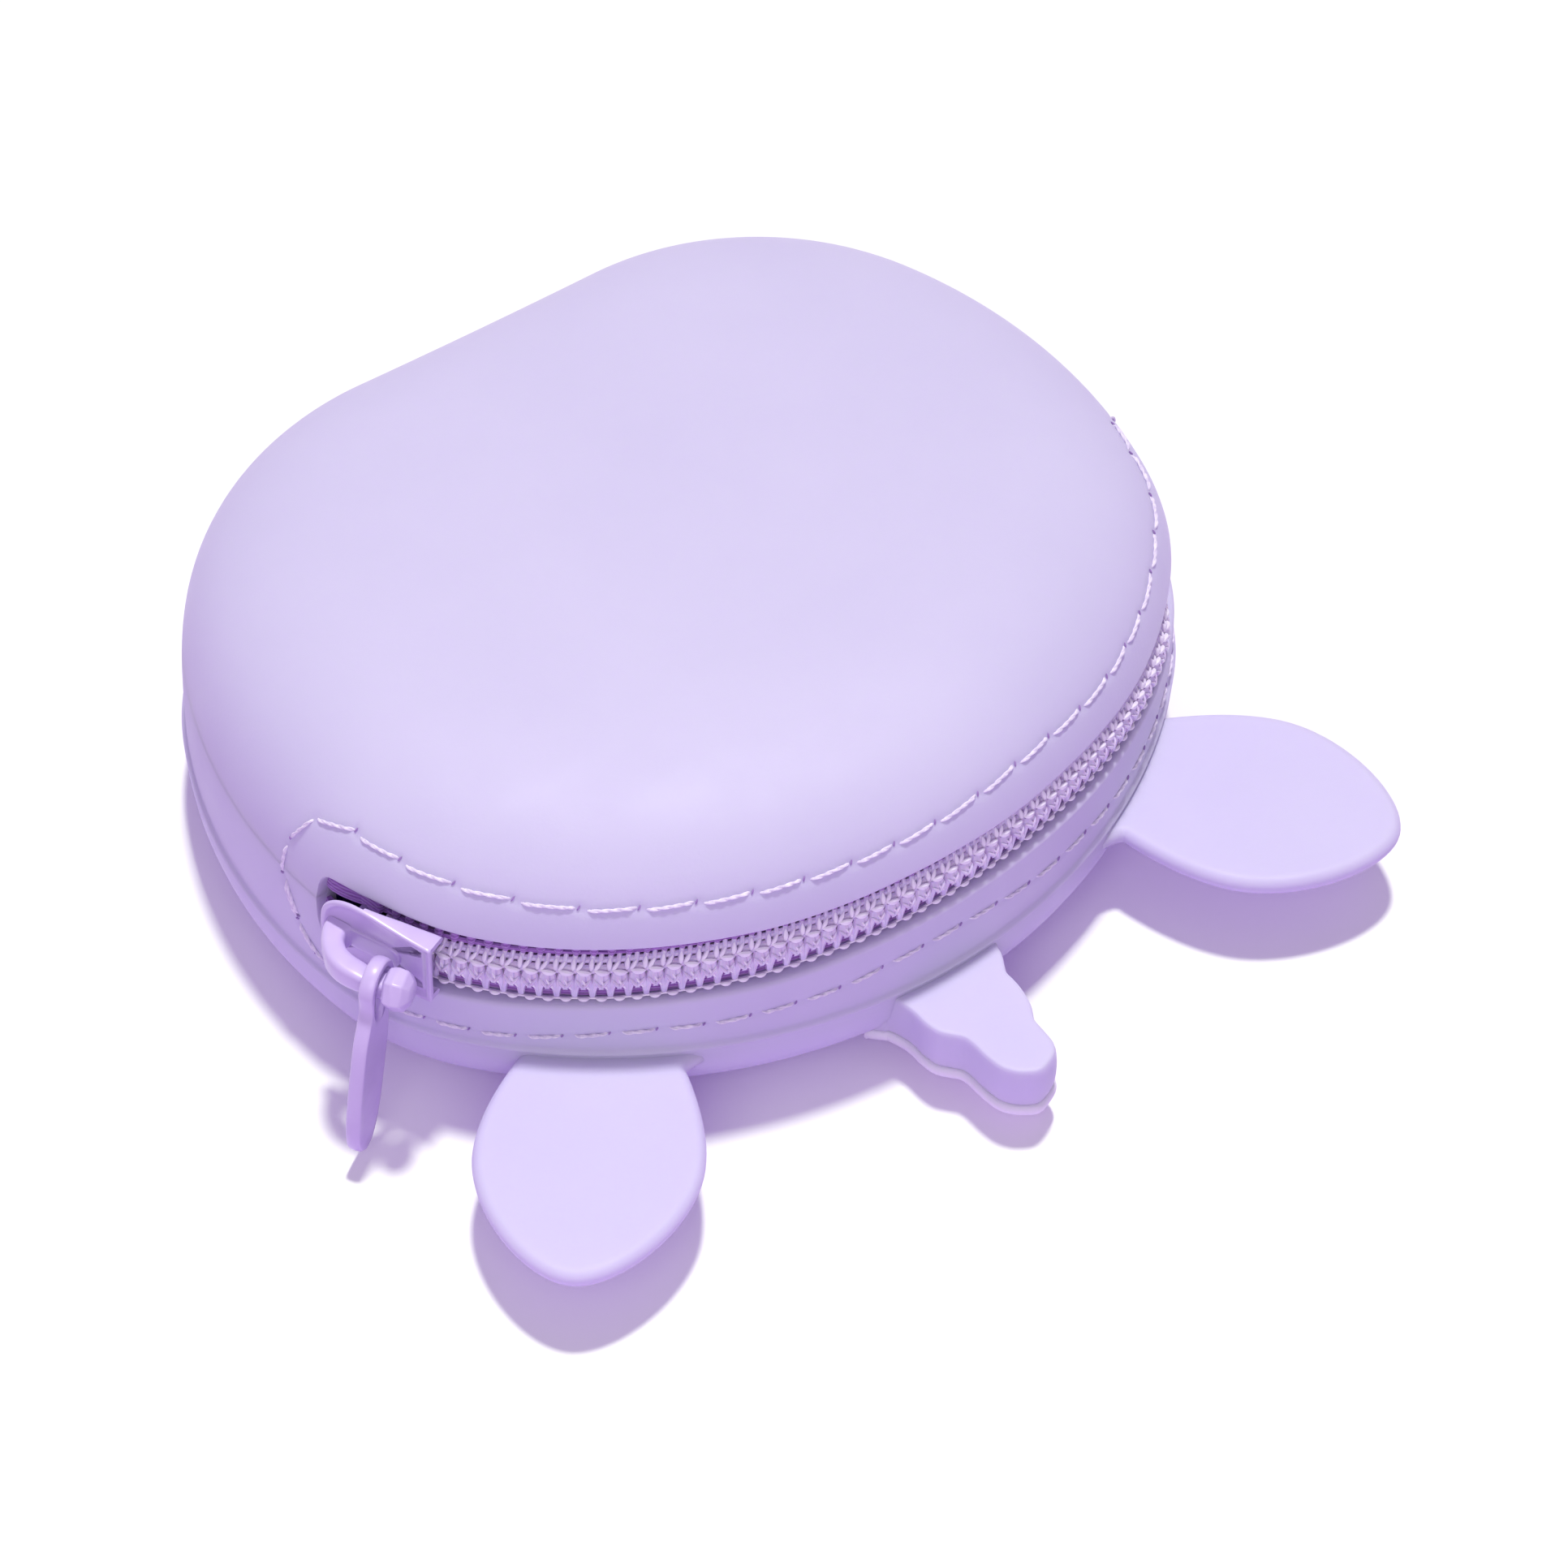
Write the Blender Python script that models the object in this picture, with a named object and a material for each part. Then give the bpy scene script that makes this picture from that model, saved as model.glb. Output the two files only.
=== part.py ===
"""Silicone coin purse lying on its front, with two ears and a horn, closed by a coil zip.

Metres, +Z up. The origin is on the flat rest face. The horn points to -Y and the chin to +Y.
The zip runs along a circular arc just under the wall, so its slider turns about a vertical axis.
"""
import math

import bmesh
import bpy
from mathutils import Vector

# Plan of the body: tangent arcs from the front middle round to the chin, ends as normal angles.
FRONT_Y = -0.0387
FRONT_RADIUS = 0.0509
FRONT_END = math.radians(47.8)
CORNER_RADIUS = 0.0236
CORNER_END = math.radians(77.5)
SIDE_RADIUS = 0.0489
SIDE_END = math.radians(115.4)
CHIN_RADIUS = 0.0283
CHIN_END = math.radians(181.0)

# Heights of the body, measured from its parting ridge, and its wall.
FACE_DEPTH = 0.0095
DOME_HEIGHT = 0.0232
WALL = 0.0022
RIDGE_WIDTH = 0.0006
RIDGE_STAND = 0.0002
FACE_STAND = 0.0003

# Section of the two halves: superellipse powers, and the plan share left flat on each.
DOME_PLAN_POWER = 5.5
DOME_RISE_POWER = 4.15
CROWN_CAP_SHARE = 0.30
CROWN_START = math.radians(80.0)
FACE_PLAN_POWER = 4.6
FACE_RISE_POWER = 3.2
REST_FACE_SHARE = 0.62

# Zip: the arc that its chain follows, then chain, tape and slot.
ZIP_INSET = 0.0021
ZIP_SETBACK = 0.0003
ZIP_HEIGHT = 0.0094
CHAIN_HALF_WIDTH = 0.0026
COIL_DEPTH = 0.0026
COIL_STAND = 0.0004
PITCH = 0.00155
TAPE_THICKNESS = 0.0004
TAPE_WIDTH = 0.0074
TAPE_EDGE = 0.0010
TAPE_END_LENGTH = 0.0034
SLOT_CORNER_RUN = 0.0149051
SLOT_END_FLARE = 0.0008
SLOT_FLARE_LENGTH = 0.0075
SLOT_END_ROUND = 0.0016
STOP_LENGTH = 0.0018
TOP_STOP_LENGTH = 0.0030

# Slider and pull tab.
PARK_MARGIN = math.radians(1.5295)
SLIDER_LENGTH = 0.0100
FLANGE = 0.0006
FLANGE_DROP = 0.0012
TOP_PLATE = 0.0013
BOTTOM_PLATE = 0.0011
WEDGE_HALF_WIDTH = 0.0007
WEDGE_LENGTH = 0.0030
WEDGE_SETBACK = 0.00065
CROWN_RISE = 0.00255
CROWN_HEIGHT = 0.0011
CROWN_WIDTH = 0.0016
KNOB_LENGTH = 0.0026
TAB_LENGTH = 0.0200
TAB_SETBACK = 0.0013
TAB_THICKNESS = 0.00135
TAB_HALF_WIDTH = 0.0025
TAB_EYE_RADIUS = 0.00235
TAB_HOLE_RADIUS = 0.0015
TAB_LEAN = math.radians(16.5)

# Ears and horn.
EAR_LENGTH = 0.0236
EAR_HALF_WIDTH = 0.00995
EAR_ROOT_HALF_WIDTH = 0.0071
EAR_THICKNESS = 0.0019
EAR_PLACE = 0.0304
EAR_DIRECTION = math.radians(40.0)
HORN_LENGTH = 0.0135
HORN_HALF_WIDTH = 0.0055
HORN_THICKNESS = 0.0047
HORN_OFFSET = 0.0012
HORN_FRONT_THICKNESS = 0.0010
HORN_FRONT_STAND = 0.0002
ROOT_LENGTH = 0.0066
EDGE_ROUND = 0.00055

# Fits.
GAP = 0.0003
RUNNING_GAP = 0.00025
SEWN_GAP = 0.0005
OVERRUN = 0.0020

# Counts and steps.
FRONT_STEPS = 12
CORNER_STEPS = 7
SIDE_STEPS = 6
CHIN_STEPS = 9
HOLLOW_STEPS = 1
TAPE_STEPS = 48
PROFILE_STEP = math.radians(10.0)
HALVINGS = 24

# Shapes as shares of the sizes of the piece that carries them.
# Slot: share of its flare, from its end inwards, where the cutter has stations.
SLOT_STATION_SHARES = (0.0, 0.06, 0.21, 0.45, 0.75, 1.0)
# Coil element, root to tip: height of the chain's half width, width of a pitch, depth of the coil.
TOOTH_SHARES = ((0.80, 0.42, 1.0), (0.26, 0.30, 0.80), (-0.03, 0.42, 0.86), (-0.17, 0.26, 0.60))
# Slider plates: length from the rear, and how much of their half width is left there.
PLATE_SHARES = ((0.0, 0.94), (0.04, 1.0), (0.3, 1.0), (0.55, 1.0), (0.75, 1.0), (0.86, 0.89),
                (0.94, 0.68), (0.985, 0.43), (1.0, 0.24))
FLANGE_END_SHARE = 0.74
# Wedge: length from its point, and how much of its half width is left there.
WEDGE_SHARES = ((0.0, 0.25), (0.35, 1.0), (0.75, 1.0), (1.0, 0.45))
# Crown, root to knob: place along the slider from its middle, rise, width and height.
CROWN_SHARES = ((-0.40, -0.25, 1.85, 1.5), (-0.40, 0.45, 1.75, 1.2), (-0.35, 0.82, 1.6, 1.0),
                (-0.26, 1.0, 1.35, 1.0), (-0.08, 1.0, 1.0, 1.0), (0.25, 0.97, 1.0, 1.0))
# Knob: length from its neck, drop, width and height, the last three as shares of the crown's.
KNOB_SHARES = ((0.14, 0.23, 1.75, 1.7), (0.42, 0.42, 2.06, 2.0), (0.67, 0.50, 1.7, 1.6),
               (0.84, 0.55, 0.8, 0.8))
# Pull tab below its eye: half width and length.
TAB_SHARES = ((0.62, 0.22), (0.80, 0.38), (1.0, 0.60), (0.96, 0.78), (0.72, 0.92), (0.36, 0.985))
# Ear: Bezier handles as shares of its length and half width, root to widest and widest to tip.
EAR_WIDEST_SHARE = 0.445
EAR_ROOT_HANDLE_SHARES = ((0.15, 0.88), (0.30, 1.0))
EAR_TIP_HANDLE_SHARES = ((0.70, 1.0), (1.0, 0.42))
# Horn: length and half width of its two lobed sides, which are staggered, and its tip.
HORN_LEFT_SHARES = ((0.0, 1.0), (0.13, 0.89), (0.275, 0.85), (0.40, 0.76), (0.46, 0.635),
                    (0.505, 0.54), (0.57, 0.50), (0.715, 0.46), (0.845, 0.38), (0.93, 0.25))
HORN_RIGHT_SHARES = ((0.0, 0.98), (0.08, 0.94), (0.17, 0.84), (0.225, 0.79), (0.29, 0.80),
                     (0.38, 0.79), (0.52, 0.73), (0.61, 0.635), (0.655, 0.60), (0.75, 0.595),
                     (0.85, 0.585), (0.915, 0.52), (0.96, 0.36))
HORN_TIP_SHARES = (1.0, 0.08)
# Rounded edge of a plate: how far its outline is drawn in at each share of its thickness.
EDGE_SHARES = ((1.0, 0.0), (0.25, 0.18), (0.0, 0.5), (0.25, 0.82), (1.0, 1.0))

# What follows from the sizes above.
RIDGE_Z = FACE_DEPTH
TOP_Z = RIDGE_Z + DOME_HEIGHT
ZIP_Z = RIDGE_Z + ZIP_HEIGHT
ZIP_RADIUS = FRONT_RADIUS - ZIP_INSET
ZIP_AXIS_Y = FRONT_Y + ZIP_SETBACK + ZIP_RADIUS
SLOT_END = FRONT_END + SLOT_CORNER_RUN / ZIP_RADIUS
SLIDER_PARK = SLOT_END - SLIDER_LENGTH / 2.0 / ZIP_RADIUS - PARK_MARGIN
SLIDER_HALF_WIDTH = CHAIN_HALF_WIDTH + GAP + FLANGE
SLOT_HALF = SLIDER_HALF_WIDTH + RUNNING_GAP
SLOT_REACH = SLOT_END * ZIP_RADIUS
COIL_OUTER = ZIP_RADIUS + COIL_STAND
COIL_INNER = COIL_OUTER - COIL_DEPTH
TAPE_OUTER = COIL_INNER - GAP
TAPE_INNER = TAPE_OUTER - TAPE_THICKNESS
PLATE_INNER = COIL_OUTER + RUNNING_GAP
PLATE_OUTER = PLATE_INNER + TOP_PLATE
LOW_PLATE_OUTER = TAPE_INNER - RUNNING_GAP * 2.0
LOW_PLATE_INNER = LOW_PLATE_OUTER - BOTTOM_PLATE
BAR_RADIUS = PLATE_OUTER + CROWN_RISE
FLAP_HINGE_Y = ZIP_AXIS_Y - ZIP_RADIUS * math.cos(SLOT_END) + GAP * 2.5
SOFT_TOP = RIDGE_Z - RIDGE_WIDTH
COLOURS = {
    "lilac": (0.72, 0.64, 0.88),
    "white": (0.93, 0.91, 0.97),
    "coil": (0.52, 0.41, 0.68),
    "tape": (0.40, 0.28, 0.55),
    "metal": (0.62, 0.52, 0.80),
}


def clear_scene():
    for item in list(bpy.data.objects):
        bpy.data.objects.remove(item)


def material(name, colour, roughness):
    mat = bpy.data.materials.new(name)
    mat.use_nodes = True
    shader = mat.node_tree.nodes["Principled BSDF"]
    shader.inputs["Base Color"].default_value = (*colour, 1.0)
    shader.inputs["Roughness"].default_value = roughness
    return mat


def add_mesh(name, bm, mat):
    """An object from a mesh whose faces already look out of the solid."""
    mesh = bpy.data.meshes.new(name)
    bm.to_mesh(mesh)
    bm.free()
    mesh.shade_smooth()
    mesh.set_sharp_from_angle(angle=math.radians(35.0))
    if mat:
        mesh.materials.append(mat)
    item = bpy.data.objects.new(name, mesh)
    bpy.context.scene.collection.objects.link(item)
    return item


def add_solid(name, bm, mat):
    bmesh.ops.recalc_face_normals(bm, faces=bm.faces)
    return add_mesh(name, bm, mat)


def add_cutter(name, bm):
    item = add_solid(name, bm, None)
    item.hide_render = True
    item.display_type = "WIRE"
    return item


def boolean(item, cutter, operation):
    modifier = item.modifiers.new(operation.lower(), "BOOLEAN")
    modifier.operation = operation
    modifier.solver = "EXACT"
    modifier.object = cutter


def loft(rings, bm=None):
    """A closed solid through rings of points, with its two ends capped."""
    bm = bm or bmesh.new()
    rows = [[bm.verts.new(point) for point in ring] for ring in rings]
    for low, high in zip(rows, rows[1:]):
        for i in range(len(low)):
            j = (i + 1) % len(low)
            bm.faces.new((low[i], low[j], high[j], high[i]))
    bm.faces.new(list(reversed(rows[0])))
    bm.faces.new(rows[-1])
    return bm


def box(low, high):
    corners = [(low[0], low[1]), (high[0], low[1]), (high[0], high[1]), (low[0], high[1])]
    return loft([[(x, y, z) for x, y in corners] for z in (low[2], high[2])])


# Plan of the body.


def normal_at(angle):
    """The outward direction in plan at an angle from -Y towards +X."""
    return Vector((math.sin(angle), -math.cos(angle)))


def half_arcs():
    """The arcs of one half as (centre, radius, first angle, last angle, steps), all tangent."""
    spans = [
        (FRONT_RADIUS, FRONT_END, FRONT_STEPS),
        (CORNER_RADIUS, CORNER_END, CORNER_STEPS),
        (SIDE_RADIUS, SIDE_END, SIDE_STEPS),
        (CHIN_RADIUS, CHIN_END, CHIN_STEPS),
    ]
    point = Vector((0.0, FRONT_Y))
    angle = 0.0
    arcs = []
    for radius, end, steps in spans:
        centre = point - normal_at(angle) * radius
        arcs.append((centre, radius, angle, end, steps))
        point = centre + normal_at(end) * radius
        angle = end
    hollow_radius = -point.x / math.sin(CHIN_END - math.pi)
    centre = point - normal_at(angle) * hollow_radius
    arcs.append((centre, hollow_radius, angle, math.pi, HOLLOW_STEPS))
    return arcs


def plan_ring(inset=0.0, scale=1.0):
    """The closed outline in plan, drawn in by inset and then scaled about the origin."""
    half = []
    for centre, radius, first, last, steps in half_arcs():
        for i in range(steps):
            angle = first + (last - first) * i / steps
            half.append(centre + normal_at(angle) * (radius - inset))
    centre, radius = half_arcs()[-1][:2]
    chin = centre + normal_at(math.pi) * (radius - inset)
    points = [(p.x, p.y) for p in half] + [(0.0, chin.y)]
    points += [(-p.x, p.y) for p in reversed(half[1:])]
    return [(x * scale, y * scale) for x, y in points]


def plan_at(length, inset=0.0):
    """The point of the outline at an arc length from the front middle, drawn in by inset."""
    side = -1.0 if length < 0.0 else 1.0
    left = abs(length)
    for centre, radius, first, last, _ in half_arcs():
        if left <= radius * (last - first):
            break
        left -= radius * (last - first)
    point = centre + normal_at(first + left / radius) * (radius - inset)
    return Vector((point.x * side, point.y))


# Section of the body.


def superellipse(turn, height, plan_power, rise_power):
    """Plan share, rise share and outward normal (out, up) at an angle, from wall to crown."""
    plan = (math.cos(turn) ** 2) ** (1.0 / plan_power)
    rise = (math.sin(turn) ** 2) ** (1.0 / rise_power)
    out = plan_power * plan ** (plan_power - 1.0) / ZIP_RADIUS
    up = rise_power * rise ** (rise_power - 1.0) / height
    size = math.hypot(out, up)
    return plan, rise, out / size, up / size


def face_rows():
    """Rows of the front half as (plan share, height, normal out, normal up), flat to ridge."""
    flat = REST_FACE_SHARE**FACE_PLAN_POWER
    depth = FACE_DEPTH / (1.0 - flat) ** (1.0 / FACE_RISE_POWER)
    last = math.acos(math.sqrt(flat))
    steps = round(last / PROFILE_STEP)
    rows = [(REST_FACE_SHARE, 0.0, 0.0, -1.0)]
    for i in range(1, steps):
        turn = last * (1.0 - i / steps)
        share, rise, out, up = superellipse(turn, depth, FACE_PLAN_POWER, FACE_RISE_POWER)
        rows.append((share, RIDGE_Z - depth * rise, out, -up))
    return rows


def dome_rows():
    """Rows of the back half, from just above the ridge to its nearly flat crown."""
    rows = []
    for i in range(1, round(CROWN_START / PROFILE_STEP) + 1):
        turn = i * PROFILE_STEP
        share, rise, out, up = superellipse(turn, DOME_HEIGHT, DOME_PLAN_POWER, DOME_RISE_POWER)
        rows.append((share, RIDGE_Z + DOME_HEIGHT * rise, out, up))
    return rows + [(CROWN_CAP_SHARE, TOP_Z, 0.0, 1.0)]


def rings_of(rows, depth, stand=0.0):
    """Rings of a surface that lies inside the outer form by depth, or outside if negative."""
    rings = []
    for share, z, out, up in rows:
        outline = plan_ring((depth * out - stand) / share, share)
        rings.append([(x, y, z - depth * up) for x, y in outline])
    return rings


def form_rings():
    """Rings of the outer form: the front stands a little proud of the ridge's foot."""
    ridge = []
    for stand, z in ((FACE_STAND, -RIDGE_WIDTH), (RIDGE_STAND, 0.0), (0.0, RIDGE_WIDTH / 2.0)):
        ridge.append([(x, y, RIDGE_Z + z) for x, y in plan_ring(-stand)])
    return rings_of(face_rows(), 0.0, FACE_STAND) + ridge + rings_of(dome_rows(), 0.0)


def offset_rings(depth):
    """Rings of a surface offset from the form all over, with no ridge."""
    stand = FACE_STAND if depth < 0.0 else 0.0
    middle = [(x, y, RIDGE_Z) for x, y in plan_ring(depth - stand)]
    return rings_of(face_rows(), depth, stand) + [middle] + rings_of(dome_rows(), depth)


def add_shell(name, mat):
    """The whole moulding: the outer form with the coin space inside it."""
    bm = loft(form_rings())
    bmesh.ops.recalc_face_normals(bm, faces=bm.faces)
    outer = set(bm.faces)
    loft(offset_rings(WALL), bm)
    inner = [face for face in bm.faces if face not in outer]
    bmesh.ops.recalc_face_normals(bm, faces=inner)
    bmesh.ops.reverse_faces(bm, faces=inner)
    return add_mesh(name, bm, mat)


def dome_share(z, depth):
    """Plan share and outward normal of the dome where its surface inside by depth is at z."""
    low, high = 0.0, CROWN_START
    for _ in range(HALVINGS):
        turn = (low + high) / 2.0
        share, rise, out, up = superellipse(turn, DOME_HEIGHT, DOME_PLAN_POWER, DOME_RISE_POWER)
        if RIDGE_Z + DOME_HEIGHT * rise - depth * up < z:
            low = turn
        else:
            high = turn
    return share, out


def lining_point(length, z, depth):
    """A point inside the outer form by depth, at a height and an arc length from the front."""
    share, out = dome_share(z, depth)
    point = plan_at(length, depth * out / share) * share
    return Vector((point.x, point.y, z))


# Placing things along the zip's arc.


def on_arc(radius, length, z, about=0.0):
    """A point at a radius from the zip's axis, an arc length along the chain and a height."""
    angle = about + length / ZIP_RADIUS
    return Vector((math.sin(angle) * radius, ZIP_AXIS_Y - math.cos(angle) * radius, z))


def arc_block(stations, inner, outer, about=0.0):
    """A solid that follows the arc, through stations of (length, low z, high z)."""
    rings = []
    for length, low, high in stations:
        rings.append([
            on_arc(inner, length, low, about),
            on_arc(outer, length, low, about),
            on_arc(outer, length, high, about),
            on_arc(inner, length, high, about),
        ])
    return loft(rings)


def slot_half_at(left):
    """Half height of the slot at a length from its end: wider where the slider parks."""
    half = SLOT_HALF
    if left < SLOT_FLARE_LENGTH:
        share = min(1.0, 2.0 * (1.0 - left / SLOT_FLARE_LENGTH))
        half += SLOT_END_FLARE * math.sin(math.pi / 2.0 * share)
    if left < SLOT_END_ROUND:
        rise = math.sqrt(SLOT_END_ROUND**2 - (SLOT_END_ROUND - left) ** 2)
        half -= SLOT_END_ROUND - rise
    return half


def slot_cutter(name):
    near = [SLOT_FLARE_LENGTH * share for share in SLOT_STATION_SHARES]
    even = SLOT_REACH - SLOT_FLARE_LENGTH
    stations = [(left - SLOT_REACH, slot_half_at(left)) for left in near]
    stations += [(even * (i / 4.0 - 1.0), SLOT_HALF) for i in range(1, 8)]
    stations += [(SLOT_REACH - left, slot_half_at(left)) for left in reversed(near)]
    stations = [(s, ZIP_Z - half, ZIP_Z + half) for s, half in stations]
    return add_cutter(name, arc_block(stations, LOW_PLATE_INNER, ZIP_RADIUS + OVERRUN))


# Silicone pieces.


def make_body(mat):
    body = add_shell("silicone_body", mat)
    boolean(body, slot_cutter("slot_in_body"), "DIFFERENCE")
    reach = FRONT_RADIUS
    low = (-reach, -reach, ZIP_Z + SLOT_HALF - GAP)
    high = (reach, FLAP_HINGE_Y, TOP_Z + OVERRUN)
    boolean(body, add_cutter("flap_space", box(low, high)), "DIFFERENCE")
    return body


def make_flap(mat):
    flap = add_shell("mouth_flap", mat)
    reach = FRONT_RADIUS
    low = (-reach, -reach, ZIP_Z + SLOT_HALF)
    high = (reach, FLAP_HINGE_Y - GAP, TOP_Z + OVERRUN)
    boolean(flap, add_cutter("flap_form", box(low, high)), "INTERSECT")
    boolean(flap, slot_cutter("slot_in_flap"), "DIFFERENCE")
    return flap


def bezier(a, b, c, d, steps):
    points = []
    for i in range(steps):
        t = i / steps
        s = 1.0 - t
        weights = (s**3, 3.0 * s * s * t, 3.0 * s * t * t, t**3)
        points.append(tuple(sum(w * p[k] for w, p in zip(weights, (a, b, c, d))) for k in (0, 1)))
    return points


def ear_outline():
    """One ear in its own plane: x along the ear from the body's wall, y across it."""
    def place(share):
        return (EAR_LENGTH * share[0], EAR_HALF_WIDTH * share[1])

    root = (0.0, EAR_ROOT_HALF_WIDTH)
    widest = place((EAR_WIDEST_SHARE, 1.0))
    tip = place((1.0, 0.0))
    lower = bezier(root, *map(place, EAR_ROOT_HANDLE_SHARES), widest, 4)
    upper = bezier(widest, *map(place, EAR_TIP_HANDLE_SHARES), tip, 8)
    side = [(-ROOT_LENGTH, EAR_ROOT_HALF_WIDTH)] + lower + upper
    return side + [tip] + [(x, -y) for x, y in reversed(side)]


def horn_outline(stand):
    """The horn's lobed outline: x away from the wall, y across it."""
    root = (-ROOT_LENGTH, HORN_HALF_WIDTH + stand)
    right = [(HORN_LENGTH * u, HORN_HALF_WIDTH * v + stand) for u, v in HORN_RIGHT_SHARES]
    left = [(HORN_LENGTH * u, -HORN_HALF_WIDTH * v - stand) for u, v in HORN_LEFT_SHARES]
    tip = (HORN_LENGTH * HORN_TIP_SHARES[0] + stand, HORN_HALF_WIDTH * HORN_TIP_SHARES[1])
    return [root] + right + [tip] + left[::-1] + [(root[0], -root[1])]


def shrink(points, amount):
    """A clockwise outline drawn in along its own normals."""
    out = []
    for i, point in enumerate(points):
        here = Vector(point)
        before = (here - Vector(points[i - 1])).normalized()
        after = (Vector(points[(i + 1) % len(points)]) - here).normalized()
        along = (before + after).normalized()
        out.append(here + Vector((along.y, -along.x)) * amount)
    return out


def rounded_plate(points, low, high, place):
    """A plate with rounded edges from a clockwise outline; place turns it into world space."""
    rings = []
    for inset, height in EDGE_SHARES:
        ring = shrink(points, EDGE_ROUND * inset)
        rings.append([place(p.x, p.y, low + (high - low) * height) for p in ring])
    return loft(rings)


def make_ear(name, side, envelope, mat):
    root = plan_at(EAR_PLACE)
    direction = normal_at(EAR_DIRECTION)
    across = Vector((-direction.y, direction.x))

    def place(u, v, z):
        point = root + direction * u + across * v
        return (point.x * side, point.y, z)

    bm = rounded_plate(ear_outline(), SOFT_TOP - EAR_THICKNESS, SOFT_TOP, place)
    ear = add_solid(name, bm, mat)
    boolean(ear, envelope, "DIFFERENCE")
    return ear


def make_horn_piece(name, low, high, stand, envelope, mat):
    def place(u, v, z):
        return (HORN_OFFSET + v, FRONT_Y - u, z)

    horn = add_solid(name, rounded_plate(horn_outline(stand), low, high, place), mat)
    boolean(horn, envelope, "DIFFERENCE")
    return horn


def make_horn(envelope, lilac, white):
    low = SOFT_TOP - HORN_THICKNESS
    make_horn_piece("horn_block", low, SOFT_TOP, 0.0, envelope, lilac)
    high = low - GAP
    low = high - HORN_FRONT_THICKNESS
    make_horn_piece("horn_front", low, high, HORN_FRONT_STAND, envelope, white)


# Zip.


def tape_heights(side):
    """Heights across the tape: two on its flat run behind the slot, then three on the wall."""
    flat_end = SLIDER_HALF_WIDTH - FLANGE + RUNNING_GAP / 2.0
    first = SLOT_HALF - RUNNING_GAP / 2.0
    last = TAPE_EDGE + TAPE_WIDTH
    flat = [ZIP_Z + side * offset for offset in (TAPE_EDGE, flat_end)]
    lined = [ZIP_Z + side * offset for offset in (first, (first + last) / 2.0, last)]
    return flat, lined


def tape_angles():
    """Stations along the tape: even ones along the slot, then past each of its ends."""
    even = SLOT_REACH - SLOT_END_ROUND / 4.0
    middle = [even * (2.0 * i / TAPE_STEPS - 1.0) for i in range(TAPE_STEPS + 1)]
    past = [SLOT_REACH + TAPE_END_LENGTH * share for share in (0.0, 0.5, 1.0)]
    return [-length for length in reversed(past)] + middle + past


def tape_row(length, side, depth):
    """Points across the tape; it is flat behind the slot and follows the wall elsewhere."""
    flat, lined = tape_heights(side)
    if abs(length) >= SLOT_REACH:
        flat, lined = [], flat + lined
    row = [on_arc(TAPE_OUTER - depth, length, z) for z in flat]
    wall_length = length * wall_stretch()
    return row + [lining_point(wall_length, z, WALL + SEWN_GAP + depth) for z in lined]


def wall_stretch():
    """Length along the body's outline per length along the zip's arc, at the slot's end."""
    target = on_arc(ZIP_RADIUS, SLOT_REACH, 0.0)
    low, high = 0.0, SLOT_REACH * 2.0
    for _ in range(HALVINGS):
        length = (low + high) / 2.0
        if plan_at(length).y < target.y:
            low = length
        else:
            high = length
    return length / SLOT_REACH


def make_tape(name, side, mat):
    """One tape, sewn against the inside of the wall."""
    rings = []
    for length in tape_angles():
        near = tape_row(length, side, 0.0)
        rings.append(near + tape_row(length, side, TAPE_THICKNESS)[::-1])
    return add_solid(name, loft(rings), mat)


def stop_start():
    """Arc length at which the bottom stop begins, just inside the end of the slot."""
    return SLOT_REACH - GAP * 2.0 - STOP_LENGTH


def coil_centres(phase):
    """Arc lengths of a coil's elements, from the slider's wedge to the bottom stop."""
    first = -SLIDER_PARK * ZIP_RADIUS - WEDGE_SETBACK
    last = stop_start() - GAP
    count = int((last - first) / PITCH - phase)
    return [first + PITCH * (0.5 + phase + i) for i in range(count)]


def coil_ring(length, z, half_depth, bm):
    middle = (COIL_OUTER + COIL_INNER) / 2.0
    return [bm.verts.new(on_arc(middle + side * half_depth, length, z)) for side in (1.0, -1.0)]


def make_coil(name, side, phase, mat):
    """One row of coil elements: a back strip with a headed element for every turn."""
    bm = bmesh.new()
    back = ZIP_Z + side * CHAIN_HALF_WIDTH
    foot = ZIP_Z + side * CHAIN_HALF_WIDTH * TOOTH_SHARES[0][0]
    root_half = PITCH * TOOTH_SHARES[0][1] / 2.0
    rows = []
    for centre in coil_centres(phase):
        for length in (centre - root_half, centre + root_half):
            ring = coil_ring(length, back, COIL_DEPTH / 2.0, bm)
            rows.append(ring + coil_ring(length, foot, COIL_DEPTH / 2.0, bm)[::-1])
    for i, (a, b) in enumerate(zip(rows, rows[1:])):
        for j, k in ((0, 1), (1, 2), (2, 3), (3, 0)):
            under_element = j == 2 and i % 2 == 0
            if not under_element:
                bm.faces.new((a[j], a[k], b[k], b[j]))
    bm.faces.new(rows[0])
    bm.faces.new(rows[-1][::-1])
    for i, centre in enumerate(coil_centres(phase)):
        a, b = rows[2 * i], rows[2 * i + 1]
        ring = [a[3], a[2], b[2], b[3]]
        for height, wide, deep in TOOTH_SHARES[1:]:
            z = ZIP_Z + side * CHAIN_HALF_WIDTH * height
            half = COIL_DEPTH * deep / 2.0
            near = coil_ring(centre - PITCH * wide / 2.0, z, half, bm)
            step = near + coil_ring(centre + PITCH * wide / 2.0, z, half, bm)[::-1]
            for j, k in ((0, 1), (1, 2), (2, 3), (3, 0)):
                bm.faces.new((ring[j], ring[k], step[k], step[j]))
            ring = step
        bm.faces.new(ring)
    return add_solid(name, bm, mat)


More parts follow.
